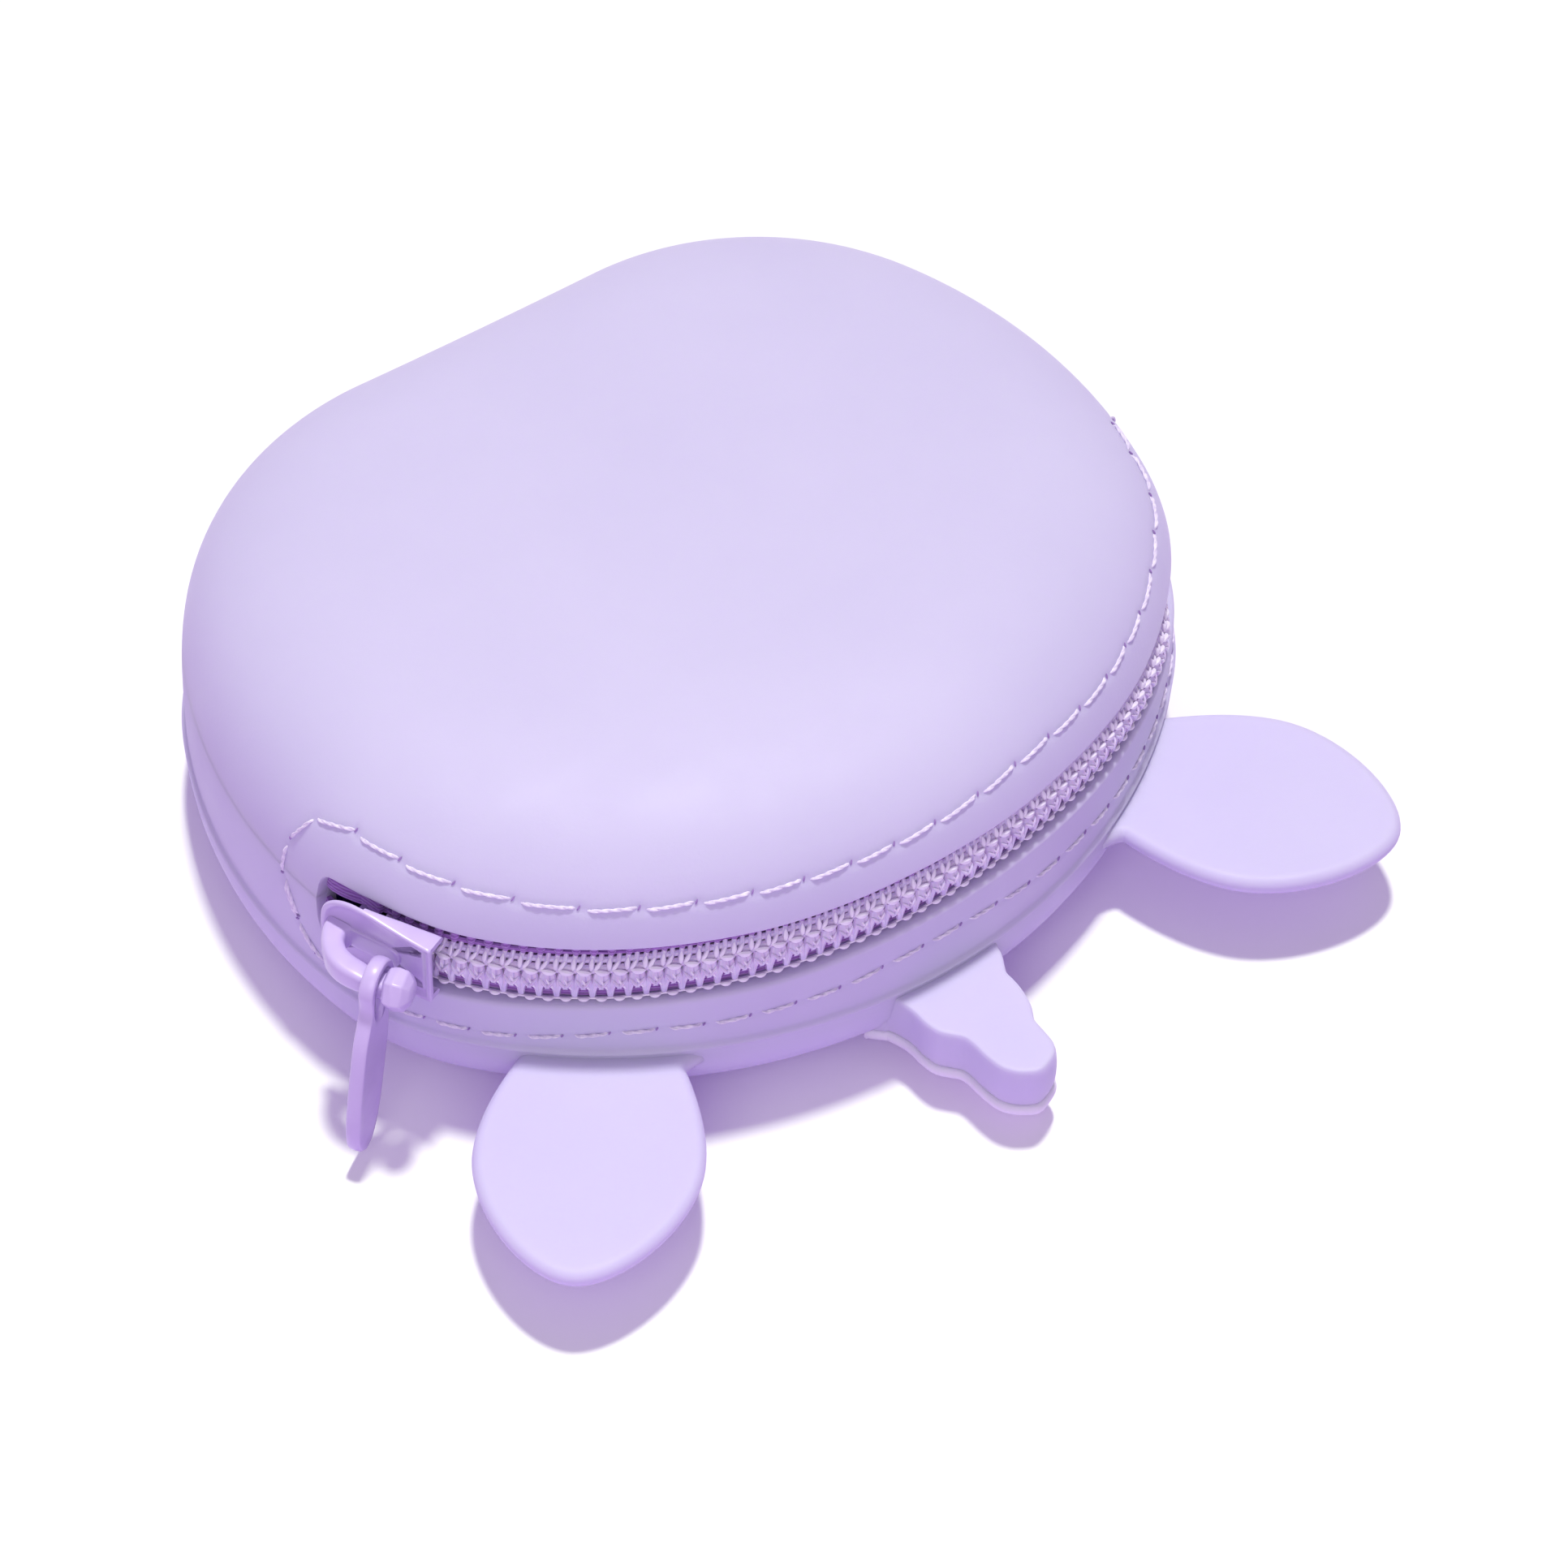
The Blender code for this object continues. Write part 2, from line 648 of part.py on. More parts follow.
def stop_block(length, low, high, start, about=0.0):
    """A zip stop: a small block across the chain with its ends chamfered."""
    stations = []
    for along, trim in ((0.0, GAP), (GAP, 0.0), (length - GAP, 0.0), (length, GAP)):
        stations.append((start + along, low + trim, high - trim))
    return arc_block(stations, COIL_INNER, COIL_OUTER, about)


def make_stops(mat):
    """Two top stops either side of the slider's wedge, and the bottom stop across both coils."""
    near = WEDGE_HALF_WIDTH + GAP
    far = CHAIN_HALF_WIDTH
    start = -TOP_STOP_LENGTH - WEDGE_SETBACK - GAP
    upper = stop_block(TOP_STOP_LENGTH, ZIP_Z + near, ZIP_Z + far, start, -SLIDER_PARK)
    lower = stop_block(TOP_STOP_LENGTH, ZIP_Z - far, ZIP_Z - near, start, -SLIDER_PARK)
    add_solid("top_stop_upper", upper, mat)
    add_solid("top_stop_lower", lower, mat)
    bottom = stop_block(STOP_LENGTH, ZIP_Z - far, ZIP_Z + far, stop_start())
    add_solid("bottom_stop", bottom, mat)


# Slider and pull tab.


def plate(half_width, inner, outer):
    """A slider plate along the arc: square at the rear and rounded at the nose."""
    rear = SLIDER_LENGTH / 2.0
    stations = []
    for along, wide in PLATE_SHARES:
        half = half_width * wide
        stations.append((rear - SLIDER_LENGTH * along, ZIP_Z - half, ZIP_Z + half))
    return arc_block(stations, inner, outer, -SLIDER_PARK)


def flange(side):
    """The rim of the top plate that turns down over one coil."""
    ends = sorted(ZIP_Z + side * (SLIDER_HALF_WIDTH - inset) for inset in (0.0, FLANGE))
    rear = SLIDER_LENGTH / 2.0 - GAP
    run = SLIDER_LENGTH * FLANGE_END_SHARE
    stations = [(rear - run * i / 4.0, *ends) for i in range(5)]
    inner = PLATE_INNER - FLANGE_DROP
    return arc_block(stations, inner, PLATE_OUTER - TOP_PLATE / 2.0, -SLIDER_PARK)


def wedge():
    """The post between the plates, which parts the two coils."""
    stations = []
    for along, wide in WEDGE_SHARES:
        half = WEDGE_HALF_WIDTH * wide
        stations.append((-WEDGE_SETBACK - WEDGE_LENGTH * along, ZIP_Z - half, ZIP_Z + half))
    inner = LOW_PLATE_INNER + BOTTOM_PLATE / 2.0
    return arc_block(stations, inner, PLATE_OUTER - TOP_PLATE / 2.0, -SLIDER_PARK)


def crown_path():
    """The crown's centre line as (length, rise, half width, half height), root to knob."""
    path = []
    for along, rise, wide, high in CROWN_SHARES:
        path.append((SLIDER_LENGTH * along, CROWN_RISE * rise, wide, high))
    neck = path[-1][0]
    for along, drop, wide, high in KNOB_SHARES:
        path.append((neck + KNOB_LENGTH * along, CROWN_RISE * (1.0 - drop), wide, high))
    return [(s, r, CROWN_WIDTH / 2.0 * w, CROWN_HEIGHT / 2.0 * h) for s, r, w, h in path]


def crown():
    """The hooked crown: up from the nose, back over the plate, down into its open knob."""
    path = crown_path()
    sides = 8
    rings = []
    for i, (length, rise, half_wide, half_high) in enumerate(path):
        before, after = path[max(i - 1, 0)], path[min(i + 1, len(path) - 1)]
        heading = Vector((after[0] - before[0], after[1] - before[1])).normalized()
        ring = []
        for k in range(sides):
            turn = 2.0 * math.pi * (k + 0.5) / sides
            up = half_high * math.sin(turn)
            along = length - heading.y * up
            out = PLATE_OUTER + rise + heading.x * up
            z = ZIP_Z + half_wide * math.cos(turn)
            ring.append(on_arc(out, along, z, -SLIDER_PARK))
        rings.append(ring)
    return loft(rings)


def make_slider(mat):
    """Two plates, the flanges that hold the coils, the wedge that parts them and the crown."""
    top = plate(SLIDER_HALF_WIDTH - FLANGE / 2.0, PLATE_INNER, PLATE_OUTER)
    slider = add_solid("slider_body", top, mat)
    parts = {
        "bottom_plate": plate(SLIDER_HALF_WIDTH - FLANGE, LOW_PLATE_INNER, LOW_PLATE_OUTER),
        "flange_upper": flange(1.0),
        "flange_lower": flange(-1.0),
        "wedge": wedge(),
        "crown": crown(),
    }
    for name, bm in parts.items():
        boolean(slider, add_cutter(name, bm), "UNION")
    return slider


def tab_outline():
    """The pull tab hanging down: x across it, y up from the centre of its eye."""
    length = TAB_LENGTH - TAB_EYE_RADIUS
    steps = 8
    eye = []
    for i in range(steps + 1):
        turn = math.radians(205.0 - 230.0 * i / steps)
        eye.append((TAB_EYE_RADIUS * math.cos(turn), TAB_EYE_RADIUS * math.sin(turn)))
    right = [(TAB_HALF_WIDTH * x, -length * y) for x, y in TAB_SHARES]
    return eye + right + [(0.0, -length)] + [(-x, y) for x, y in reversed(right)]


def make_pull_tab(mat):
    """A flat tab whose round eye turns on the crown's bar; it hangs leaning off the wall."""
    angle = TAB_SETBACK / ZIP_RADIUS - SLIDER_PARK
    hinge = on_arc(BAR_RADIUS, TAB_SETBACK, ZIP_Z, -SLIDER_PARK)
    out = normal_at(angle).to_3d()
    up = Vector((0.0, 0.0, 1.0))
    along = up.cross(out)
    tab_up = up * math.cos(TAB_LEAN) - out * math.sin(TAB_LEAN)
    tab_out = out * math.cos(TAB_LEAN) + up * math.sin(TAB_LEAN)

    def place(x, y, t):
        return tab_out * x + tab_up * y + along * t

    half = TAB_THICKNESS / 2.0
    tab = add_solid("pull_tab", rounded_plate(tab_outline(), -half, half, place), mat)
    tab.location = hinge
    steps = 16
    rings = []
    for t in (-TAB_THICKNESS, TAB_THICKNESS):
        turns = [2.0 * math.pi * i / steps for i in range(steps)]
        ring = [(TAB_HOLE_RADIUS * math.cos(a), TAB_HOLE_RADIUS * math.sin(a)) for a in turns]
        rings.append([place(x, y, t) for x, y in ring])
    hole = add_cutter("tab_hole", loft(rings))
    hole.location = hinge
    boolean(tab, hole, "DIFFERENCE")
    return tab


def main():
    clear_scene()
    lilac = material("lilac_silicone", COLOURS["lilac"], 0.55)
    white = material("white_silicone", COLOURS["white"], 0.5)
    nylon = material("coil_nylon", COLOURS["coil"], 0.35)
    cloth = material("tape_cloth", COLOURS["tape"], 0.9)
    metal = material("painted_metal", COLOURS["metal"], 0.35)
    make_body(lilac)
    make_flap(lilac)
    envelope = add_cutter("body_envelope", loft(offset_rings(-GAP)))
    make_ear("ear_left", -1.0, envelope, lilac)
    make_ear("ear_right", 1.0, envelope, lilac)
    make_horn(envelope, lilac, white)
    make_tape("zip_tape_upper", 1.0, cloth)
    make_tape("zip_tape_lower", -1.0, cloth)
    make_coil("zip_coil_upper", 1.0, 0.0, nylon)
    make_coil("zip_coil_lower", -1.0, 0.5, nylon)
    make_stops(nylon)
    make_slider(metal)
    make_pull_tab(metal)


main()
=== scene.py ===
"""Looks of the silicone coin purse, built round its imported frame.

Shapes are worked out in millimetres and written to the meshes in metres.
A place on the silicone is (s, z): the length along the body's outline from the front middle,
positive towards +X, and the height above the rest face.
"""
import math

import bmesh
import bpy
import numpy as np
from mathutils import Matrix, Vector


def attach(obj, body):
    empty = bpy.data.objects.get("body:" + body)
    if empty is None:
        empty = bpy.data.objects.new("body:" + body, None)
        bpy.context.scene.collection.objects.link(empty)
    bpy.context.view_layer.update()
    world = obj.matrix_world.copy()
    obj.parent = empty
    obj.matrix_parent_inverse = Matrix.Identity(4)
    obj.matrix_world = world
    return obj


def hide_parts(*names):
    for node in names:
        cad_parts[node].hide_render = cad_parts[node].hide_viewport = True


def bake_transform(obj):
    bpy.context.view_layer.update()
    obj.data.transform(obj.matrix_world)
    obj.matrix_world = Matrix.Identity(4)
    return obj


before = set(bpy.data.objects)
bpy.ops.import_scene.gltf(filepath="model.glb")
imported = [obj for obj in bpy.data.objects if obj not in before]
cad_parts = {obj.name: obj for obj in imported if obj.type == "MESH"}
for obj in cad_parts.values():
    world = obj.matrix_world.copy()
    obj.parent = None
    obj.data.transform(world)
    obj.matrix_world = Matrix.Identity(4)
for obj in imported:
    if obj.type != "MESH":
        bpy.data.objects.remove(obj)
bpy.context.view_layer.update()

MM = 0.001

# The body's outline as tangent arcs (radius, last normal angle) and its section, as in the CAD:
# powers of the plan and of the height, above the parting ridge and below it.
ARCS = ((50.9, 47.8), (23.6, 77.5), (48.9, 115.4), (28.3, 181.0))
FRONT_Y = -38.7
RIDGE_Z = 9.5
DOME = 23.2
WALL = 2.2
DOME_PLAN, DOME_RISE = 5.5, 4.15
FACE_PLAN, FACE_RISE = 4.6, 3.2
REST_SHARE = 0.62
FACE_STAND = 0.3
# Above this height the rows of the crown go by shares of the plan.
CROWN_Z = 28.4
CROWN_SHARES = (0.66, 0.61, 0.55, 0.48, 0.40, 0.31, 0.22, 0.12, 0.04)
# The parting ridge as (height, how far it stands out), and the heights of the rows below it.
RIDGE_ROWS = ((9.98, 0.0), (9.88, 0.04), (9.80, 0.12), (9.71, 0.25), (9.60, 0.34),
              (9.46, 0.38), (9.34, 0.32), (9.2, 0.24), (8.95, 0.25), (8.5, 0.30))
FACE_ROWS = (7.8, 6.9, 5.9, 4.9, 3.9, 3.0, 2.2, 1.5, 0.95, 0.5, 0.2, 0.06, 0.0)

# The zip's arc in the CAD, and the angle at which its slider is parked.
ZIP_R = 48.8
ZIP_Z = 18.9
ZIP_CENTRE = np.array([0.0, 10.4, ZIP_Z])
UP = np.array([0.0, 0.0, 1.0])
PARK = 57.9

# The slot: its half length, the height of its ends, their rounding, the lips' radii, and how
# far the wall's inner face draws back from its edges.
SLOT_END = 57.6
SLOT_MID = 18.8
SLOT_ROUND = 1.3
UP_LIP = 0.32
LOW_LIP = 0.42
LIP_TURNS = np.radians(np.arange(0.0, 91.0, 15.0))
INNER_STEP = 0.3
# Edges of the slot as (s, z) knots.
UP_KNOTS = ((-57.5, 21.6), (-56.5, 22.1), (-54, 22.5), (-50.8, 22.85), (-47, 22.75), (-42.5, 22.45),
            (-37.6, 22.32), (-32, 22.31), (-26, 22.42), (-20, 22.57), (-15, 22.65), (-9, 22.92),
            (-3, 23.2), (3, 23.23), (9, 23.05), (17, 22.85), (22.5, 22.4), (26, 21.95),
            (31, 21.5), (36, 21.3), (41, 21.5), (46, 21.9), (52, 22.3), (57.5, 21.8))
LOW_KNOTS = ((-57.5, 15.3), (-50, 14.95), (-44.5, 14.95), (-38.9, 15.05), (-36, 15.25), (-32, 15.5),
             (-27, 15.7), (-22, 15.95), (-16, 16.15), (-12, 16.5), (-7.6, 16.95), (-2, 17.3),
             (4, 17.6), (10, 17.65), (15, 17.5), (20, 17.15), (26, 16.6), (32, 16.05),
             (38, 15.55), (44, 15.2), (50, 15.1), (57.5, 15.3))
# The chain: its middle as (s, z) knots, and its turns' spacing and ends.
CHAIN_KNOTS = ((-57.5, 18.9), (-50, 19.1), (-43, 19.5), (-37, 19.4), (-30, 19.6), (-24, 20.0),
               (-18, 20.3), (-12, 20.7), (-6, 21.0), (0, 21.2), (5, 21.4), (10, 21.45),
               (15, 21.25), (20, 20.85), (25, 20.3), (30, 19.7), (35, 19.2), (40, 18.9),
               (46, 18.8), (52, 18.9), (57.5, 18.9))
PITCH = 1.55
CHAIN_FIRST, CHAIN_LAST = -50.6, 52.6
# Half width of the chain out to its sewing, which the photo shows narrower towards the right.
HALF_KNOTS = ((-57.5, 3.3), (-45, 3.6), (-37, 3.8), (-24, 3.7), (-12, 3.45), (0, 3.1), (20, 2.95),
              (40, 3.0), (57.5, 3.0))
# Depth of the chain's top below the skin, and the height of that top over the chain's own zero.
CHAIN_DEEP = ((-57.5, 1.6), (-52, 1.3), (-47, 0.6), (-43.5, 0.25), (20, 0.25), (32, -0.1),
              (39, -0.1), (42.5, 0.7), (44.5, 0.95), (50, 0.95), (57.5, 1.3))
CHAIN_HIGH = 1.8
# The tapes: depth along their length, half length, thickness and the lower one's lift.
TAPE_DEEP = ((-59.6, 2.7), (-58.2, 1.0), (-57.4, 0.9), (-56.2, 1.0), (-54.6, 1.4), (-52, 2.3),
             (-43.5, 1.6), (20, 1.6), (32, 1.3), (39, 1.3), (42.5, 2.0), (55, 2.0), (57, 1.0),
             (59.6, 2.7))
TAPE_END = 59.6
TAPE_THICK = 0.4
TAPE_LIFT = 0.45
# Their rows behind the wall, counted from the middle of the zip, and the gap they keep to it.
TAPE_HEM = (5.2, 6.2, 7.2, 8.4)
HEM_GAP = 0.5

# The seam round the slot as (s, z) knots, its left end mirrored at the right; where its upper
# stitches start; and the share of its spacing that a stitch covers, and how far it tilts.
SEAM_UP = ((-59.6, 26.1), (-57.5, 27.0), (-55.7, 27.15), (-50.7, 27.1), (-44.5, 26.75),
           (-39, 26.4), (-33, 26.1), (-28, 26.1), (-23, 26.2), (-12, 26.3), (1.7, 26.55),
           (11, 26.8), (16, 26.65), (20.5, 26.25), (25.3, 25.9), (30, 25.8), (35, 25.75),
           (40, 25.9), (44, 26.2), (48, 26.1), (52, 26.7), (55.5, 27.1), (57.4, 27.05),
           (59.6, 26.1))
SEAM_LEFT = ((-59.6, 26.1), (-61.1, 24.2), (-62.2, 20.9), (-62.4, 18.4), (-61.7, 16.5),
             (-60.5, 14.1), (-58.6, 11.8), (-56.2, 10.6))
SEAM_LOW = ((-56.2, 10.6), (-52, 10.7), (-47.5, 10.95), (-43.7, 11.1), (-40.9, 10.85),
            (-37.6, 11.05), (-33, 11.6), (-29, 12.1), (-25, 12.4), (-20, 12.35), (-16, 12.65),
            (-12, 12.9), (-8, 13.15), (-4.6, 13.8), (0.5, 14.15), (5.4, 14.1), (8.7, 13.5),
            (13.8, 12.9), (17, 12.85), (22.5, 12.2), (26, 11.85), (33, 11.3), (40, 11.0),
            (47, 10.9), (52, 10.7), (56.2, 10.6))
UP_STARTS = (-59.6, -54.6, -49.3, -43.7, -38.1, -32.1, -26.8, -21.7, -16.6, -11.8, -7.2, -2.8,
             1.7, 6.9, 11.8, 16.5, 21.3, 26.2, 30.4, 34.7, 40.0, 44.6, 49.4, 54.4, 58.6)
UP_STITCH = 0.88
UP_TILT = 0.12
END_STITCHES = 4
END_FROM, END_TO = 0.08, 0.86
# At the left end the seam was started and locked, so that a few stitches lie doubled.
LOCKED = (((-61.9, 17.6), (-60.2, 14.3)), ((-60.1, 13.4), (-58.0, 11.2)))
LOW_FROM, LOW_TO = -53.2, 52.0
LOW_STITCH, LOW_STEP = 3.05, 4.06
LOW_TILT = 0.05
# How deep a needle hole and a stitch draw the silicone in, and how far round them.
HOLE_DENT, HOLE_REACH = 0.16, 0.14
STITCH_DENT, STITCH_REACH = 0.07, 0.12
# The thread: its height over a stitch's middle, its drop towards the ends, how much deeper the
# lower seam's lies, and its plies' distance from its middle and radius.
THREAD_HIGH, THREAD_DROP, LOW_SUNK = 0.10, 0.62, 0.06
PLY_OFF, PLY_RADIUS = 0.07, 0.115
# The dark slits of painted shade at the holes: depth, distance past the stitch, half length, slant
# and half width.
SLIT_DEPTH, SLIT_PAST, SLIT_HALF, SLIT_SLANT, SLIT_WIDE = 0.02, 0.06, 0.20, 0.12, 0.07

# The ears: direction in plan, place on the outline, length, half widths at the widest and at
# the root, and heights, of which the upper one is the horn's too.
EAR_TURN = 40.0
EAR_AT = 30.4
EAR_LONG, EAR_HALF, EAR_ROOT = 23.6, 9.95, 7.1
EAR_LOW, PLATE_TOP = 7.0, 8.9
# The horn: length, half width, place, and its sides as shares of the first two.
HORN_LONG, HORN_HALF = 13.6, 5.75
HORN_X = 1.2
HORN_LEFT = ((0.0, 1.0), (0.13, 0.89), (0.275, 0.86), (0.38, 0.79), (0.46, 0.635), (0.505, 0.54),
             (0.57, 0.50), (0.715, 0.47), (0.83, 0.41), (0.91, 0.29), (0.965, 0.13))
HORN_RIGHT = ((0.0, 0.98), (0.08, 0.94), (0.17, 0.84), (0.225, 0.79), (0.29, 0.80), (0.40, 0.79),
              (0.52, 0.73), (0.61, 0.625), (0.655, 0.60), (0.75, 0.60), (0.85, 0.585),
              (0.92, 0.50), (0.97, 0.32))

# The slider: its turn out of the chain's line and its plate's radius and half outline.
YAW = math.radians(8.5)
SLIDER_R = 50.2
PLATE_SIDE = ((-5.8, 0.0), (-5.75, 1.3), (-5.5, 2.4), (-5.0, 3.15), (-4.1, 3.85), (-2.9, 4.25),
              (-1.6, 4.3), (-0.4, 4.2), (0.8, 4.0), (2.0, 3.8), (3.2, 3.62), (4.5, 3.48),
              (5.2, 3.42), (5.42, 3.3), (5.5, 3.0))
PLATE_REAR = ((5.5, 1.5), (5.5, 0.0), (5.5, -1.5))
PLATE_LOW_SIDE = 3.65
# Its plates and post as rings of (inset, height over the plate's face).
PLATE_STEPS = ((0.6, -0.50), (0.15, -0.44), (0.0, -0.34), (0.0, -0.14), (0.05, -0.04), (0.16, 0.0),
               (0.36, 0.0), (0.48, -0.05), (0.66, -0.22), (0.85, -0.31), (1.1, -0.34), (1.6, -0.34))
PAD_STEPS = ((0.1, -0.6), (0.0, -0.5), (0.0, -0.16), (0.05, -0.09), (0.14, -0.06), (0.5, -0.06))
UNDER_STEPS = ((0.3, -6.1), (0.0, -5.8), (0.0, -5.3), (0.3, -5.0))
POST_STEPS = ((0.0, -5.4), (0.0, -0.5))
# Its crown and knob: along, out from the plate's face, width up the slider, thickness.
CROWN = ((-3.9, -0.3, 2.7, 2.7), (-3.88, 0.4, 2.6, 2.35), (-3.66, 1.1, 2.55, 2.1),
         (-3.2, 1.8, 2.5, 2.0), (-2.4, 2.5, 2.5, 2.05), (-1.6, 2.86, 2.45, 2.1),
         (-0.8, 3.02, 2.35, 2.1), (0.1, 3.06, 2.25, 2.05), (0.9, 3.06, 2.05, 1.95),
         (1.5, 3.0, 1.95, 1.9), (2.2, 2.9, 1.95, 1.9), (3.0, 2.72, 1.95, 1.9))
KNOB = ((2.72, 2.80, 2.5, 2.4), (3.0, 2.72, 3.7, 3.6), (3.7, 2.55, 4.2, 4.1), (4.6, 2.32, 3.9, 3.8),
        (5.15, 2.2, 2.4, 2.3), (5.3, 2.16, 1.2, 1.2))

# The pull tab: its hinge's radius and run from the slider, its lean, and its blade.
HINGE_R, HINGE_RUN = 53.3, 1.3
TAB_LEAN = 16.5
TAB_EYE, TAB_HALF, TAB_LONG = 2.35, 2.5, 17.65
TAB_SIDE = ((0.72, 0.12), (0.80, 0.19), (0.93, 0.27), (1.0, 0.36), (1.0, 0.55), (0.96, 0.72),
            (0.82, 0.86), (0.5, 0.965))
TAB_THICK = 1.35
TAB_EDGE = 0.22
# The hole in its eye: half width, height over the hinge, how many times that below it, flare.
EYE_HALF, EYE_UP, EYE_DOWN, EYE_FLARE = 1.42, 1.5, 2.3, 0.16

# The floor as the camera sees it, its glow there, the floor that lights the object, and the sky.
FLOOR_SEEN = (0.93, 0.99, 0.80, 1.0)
FLOOR_GLOW = (0.06, 0.015, 0.17, 1.0)
FLOOR_BOUNCE = (0.74, 0.52, 0.96, 1.0)
WHITE_SEEN = (1.0, 1.0, 1.0, 1.0)
SKY = (0.87, 0.77, 1.0, 1.0)
SKY_STRENGTH = 0.34
# The small lamp's strength, direction and spread, and the soft one's power, direction, place
# and width in metres, and colour.
SUN_STRENGTH, SUN_TOWARD, SUN_SPREAD = 2.35, (-0.12, -0.12, -1.0), math.radians(5.0)
FILL_POWER, FILL_TOWARD = 0.205, (0.60, 0.70, -0.62)
FILL_PLACE, FILL_SIZE, FILL_COLOUR = (-0.165, -0.200, 0.190), 0.22, (1.0, 0.92, 1.0)

# The photo's view, fitted to the object: degrees, millimetres and widths of the frame.
AZIMUTH, ELEVATION, ROLL = -34.974, 49.457, 0.685
DISTANCE, OFFSET_X, OFFSET_Y = 620.88, -8.83, 8.02
SENSOR = 36.0
FOCAL_SHARE = 8546.0 / 1932.0


# Mesh helpers.


def new_object(name, verts, faces, mat, sharp=40.0):
    """A smooth mesh object from points in millimetres, its faces looking out of the solid."""
    mesh = bpy.data.meshes.new(name)
    mesh.from_pydata([tuple(v) for v in np.asarray(verts) * MM], [], faces)
    bm = bmesh.new()
    bm.from_mesh(mesh)
    bmesh.ops.remove_doubles(bm, verts=bm.verts, dist=2e-6)
    bmesh.ops.dissolve_degenerate(bm, edges=bm.edges, dist=1e-6)
    bmesh.ops.recalc_face_normals(bm, faces=bm.faces)
    bm.to_mesh(mesh)
    bm.free()
    mesh.shade_smooth()
    mesh.set_sharp_from_angle(angle=math.radians(sharp))
    mesh.materials.append(mat)
    item = bpy.data.objects.new(name, mesh)
    bpy.context.scene.collection.objects.link(item)
    return item


def loft(rows, start=0, caps=True, flat=False):
    """Points and faces of a tube through rings, its ends flat, or closed to a middle point."""
    rows = [np.asarray(row) for row in rows]
    n = len(rows[0])
    verts = list(np.vstack(rows))
    faces = []
    for r in range(len(rows) - 1):
        a, b = start + r * n, start + (r + 1) * n
        for i in range(n):
            j = (i + 1) % n
            faces.append((a + i, a + j, b + j, b + i))
    if flat:
        last = start + (len(rows) - 1) * n
        faces += [tuple(range(start, start + n)), tuple(range(last, last + n))]
    elif caps:
        for first, ring in ((start, rows[0]), (start + (len(rows) - 1) * n, rows[-1])):
            verts.append(ring.mean(axis=0))
            hub = start + len(verts) - 1
            faces += [(first + i, first + (i + 1) % n, hub) for i in range(n)]
    return verts, faces


class Parts:
    """Several lofts gathered into one mesh."""

    def __init__(self):
        self.verts, self.faces = [], []

    def add(self, rows):
        verts, faces = loft(rows, len(self.verts))
        self.verts += verts
        self.faces += faces


def unit(vectors):
    """Vectors as rows, each brought to length one."""
    return vectors / np.linalg.norm(vectors, axis=1)[:, None]


def tube(points, radii, sides=8, squash=None):
    """Rings of a tube along points; squash gives a second radius across the first."""
    points = np.asarray(points, float)
    guide = UP
    rows = []
    for i, (p, h) in enumerate(zip(points, unit(np.gradient(points, axis=0)))):
        side = np.cross(guide, h)
        if np.linalg.norm(side) < 1e-3:
            side = np.array([1.0, 0.0, 0.0])
        side /= np.linalg.norm(side)
        up = np.cross(h, side)
        guide = up
        turns = np.arange(sides) * 2.0 * math.pi / sides
        second = radii[i] if squash is None else squash[i]
        rows.append(p + np.outer(np.cos(turns), side) * radii[i]
                    + np.outer(np.sin(turns), up) * second)
    return rows


def squared(turn, power):
    """Cosine and sine of an angle, nearer to a square's corners with a smaller power."""
    c, v = math.cos(turn), math.sin(turn)
    return math.copysign(abs(c) ** power, c), math.copysign(abs(v) ** power, v)


def smooth_path(places, count):
    """Catmull-Rom points through places, evenly numbered between them."""
    k = np.asarray(places, float)
    k = np.vstack([2 * k[0] - k[1], k, 2 * k[-1] - k[-2]])
    out = []
    for i in range(1, len(k) - 2):
        for t in np.linspace(0.0, 1.0, count, endpoint=False):
            a, b, c, d = k[i - 1 : i + 3]
            out.append(0.5 * (2 * b + (c - a) * t + (2 * a - 5 * b + 4 * c - d) * t * t
                              + (3 * b - a - 3 * c + d) * t**3))
    out.append(k[-2])
    return np.array(out)


# The silicone's surface.


def outline_table():
    """Half of the outline from the front middle: length, x, y and the normal, and its length."""
    point, angle, length = np.array([0.0, FRONT_Y]), 0.0, 0.0
    rows = []
    spans = [(radius, math.radians(end)) for radius, end in ARCS]
    for radius, end in spans + [(None, math.pi)]:
        if radius is None:
            radius = -point[0] / math.sin(angle - math.pi)
        centre = point - np.array([math.sin(angle), -math.cos(angle)]) * radius
        for t in np.linspace(angle, end, 400, endpoint=radius < 0):
            n = np.array([math.sin(t), -math.cos(t)])
            rows.append([length + abs(radius * (t - angle)), *(centre + n * radius), *n])
        length += abs(radius * (end - angle))
        point = centre + np.array([math.sin(end), -math.cos(end)]) * radius
        angle = end
    return np.array(rows), length


TABLE, HALF_LENGTH = outline_table()


def outline(s):
    """Place and outward normal on the outline, mirrored for negative lengths."""
    side = np.sign(s) + (np.asarray(s) == 0)
    x, y, nx, ny = (np.interp(np.abs(s), TABLE[:, 0], TABLE[:, i]) for i in (1, 2, 3, 4))
    return x * side, y, nx * side, ny


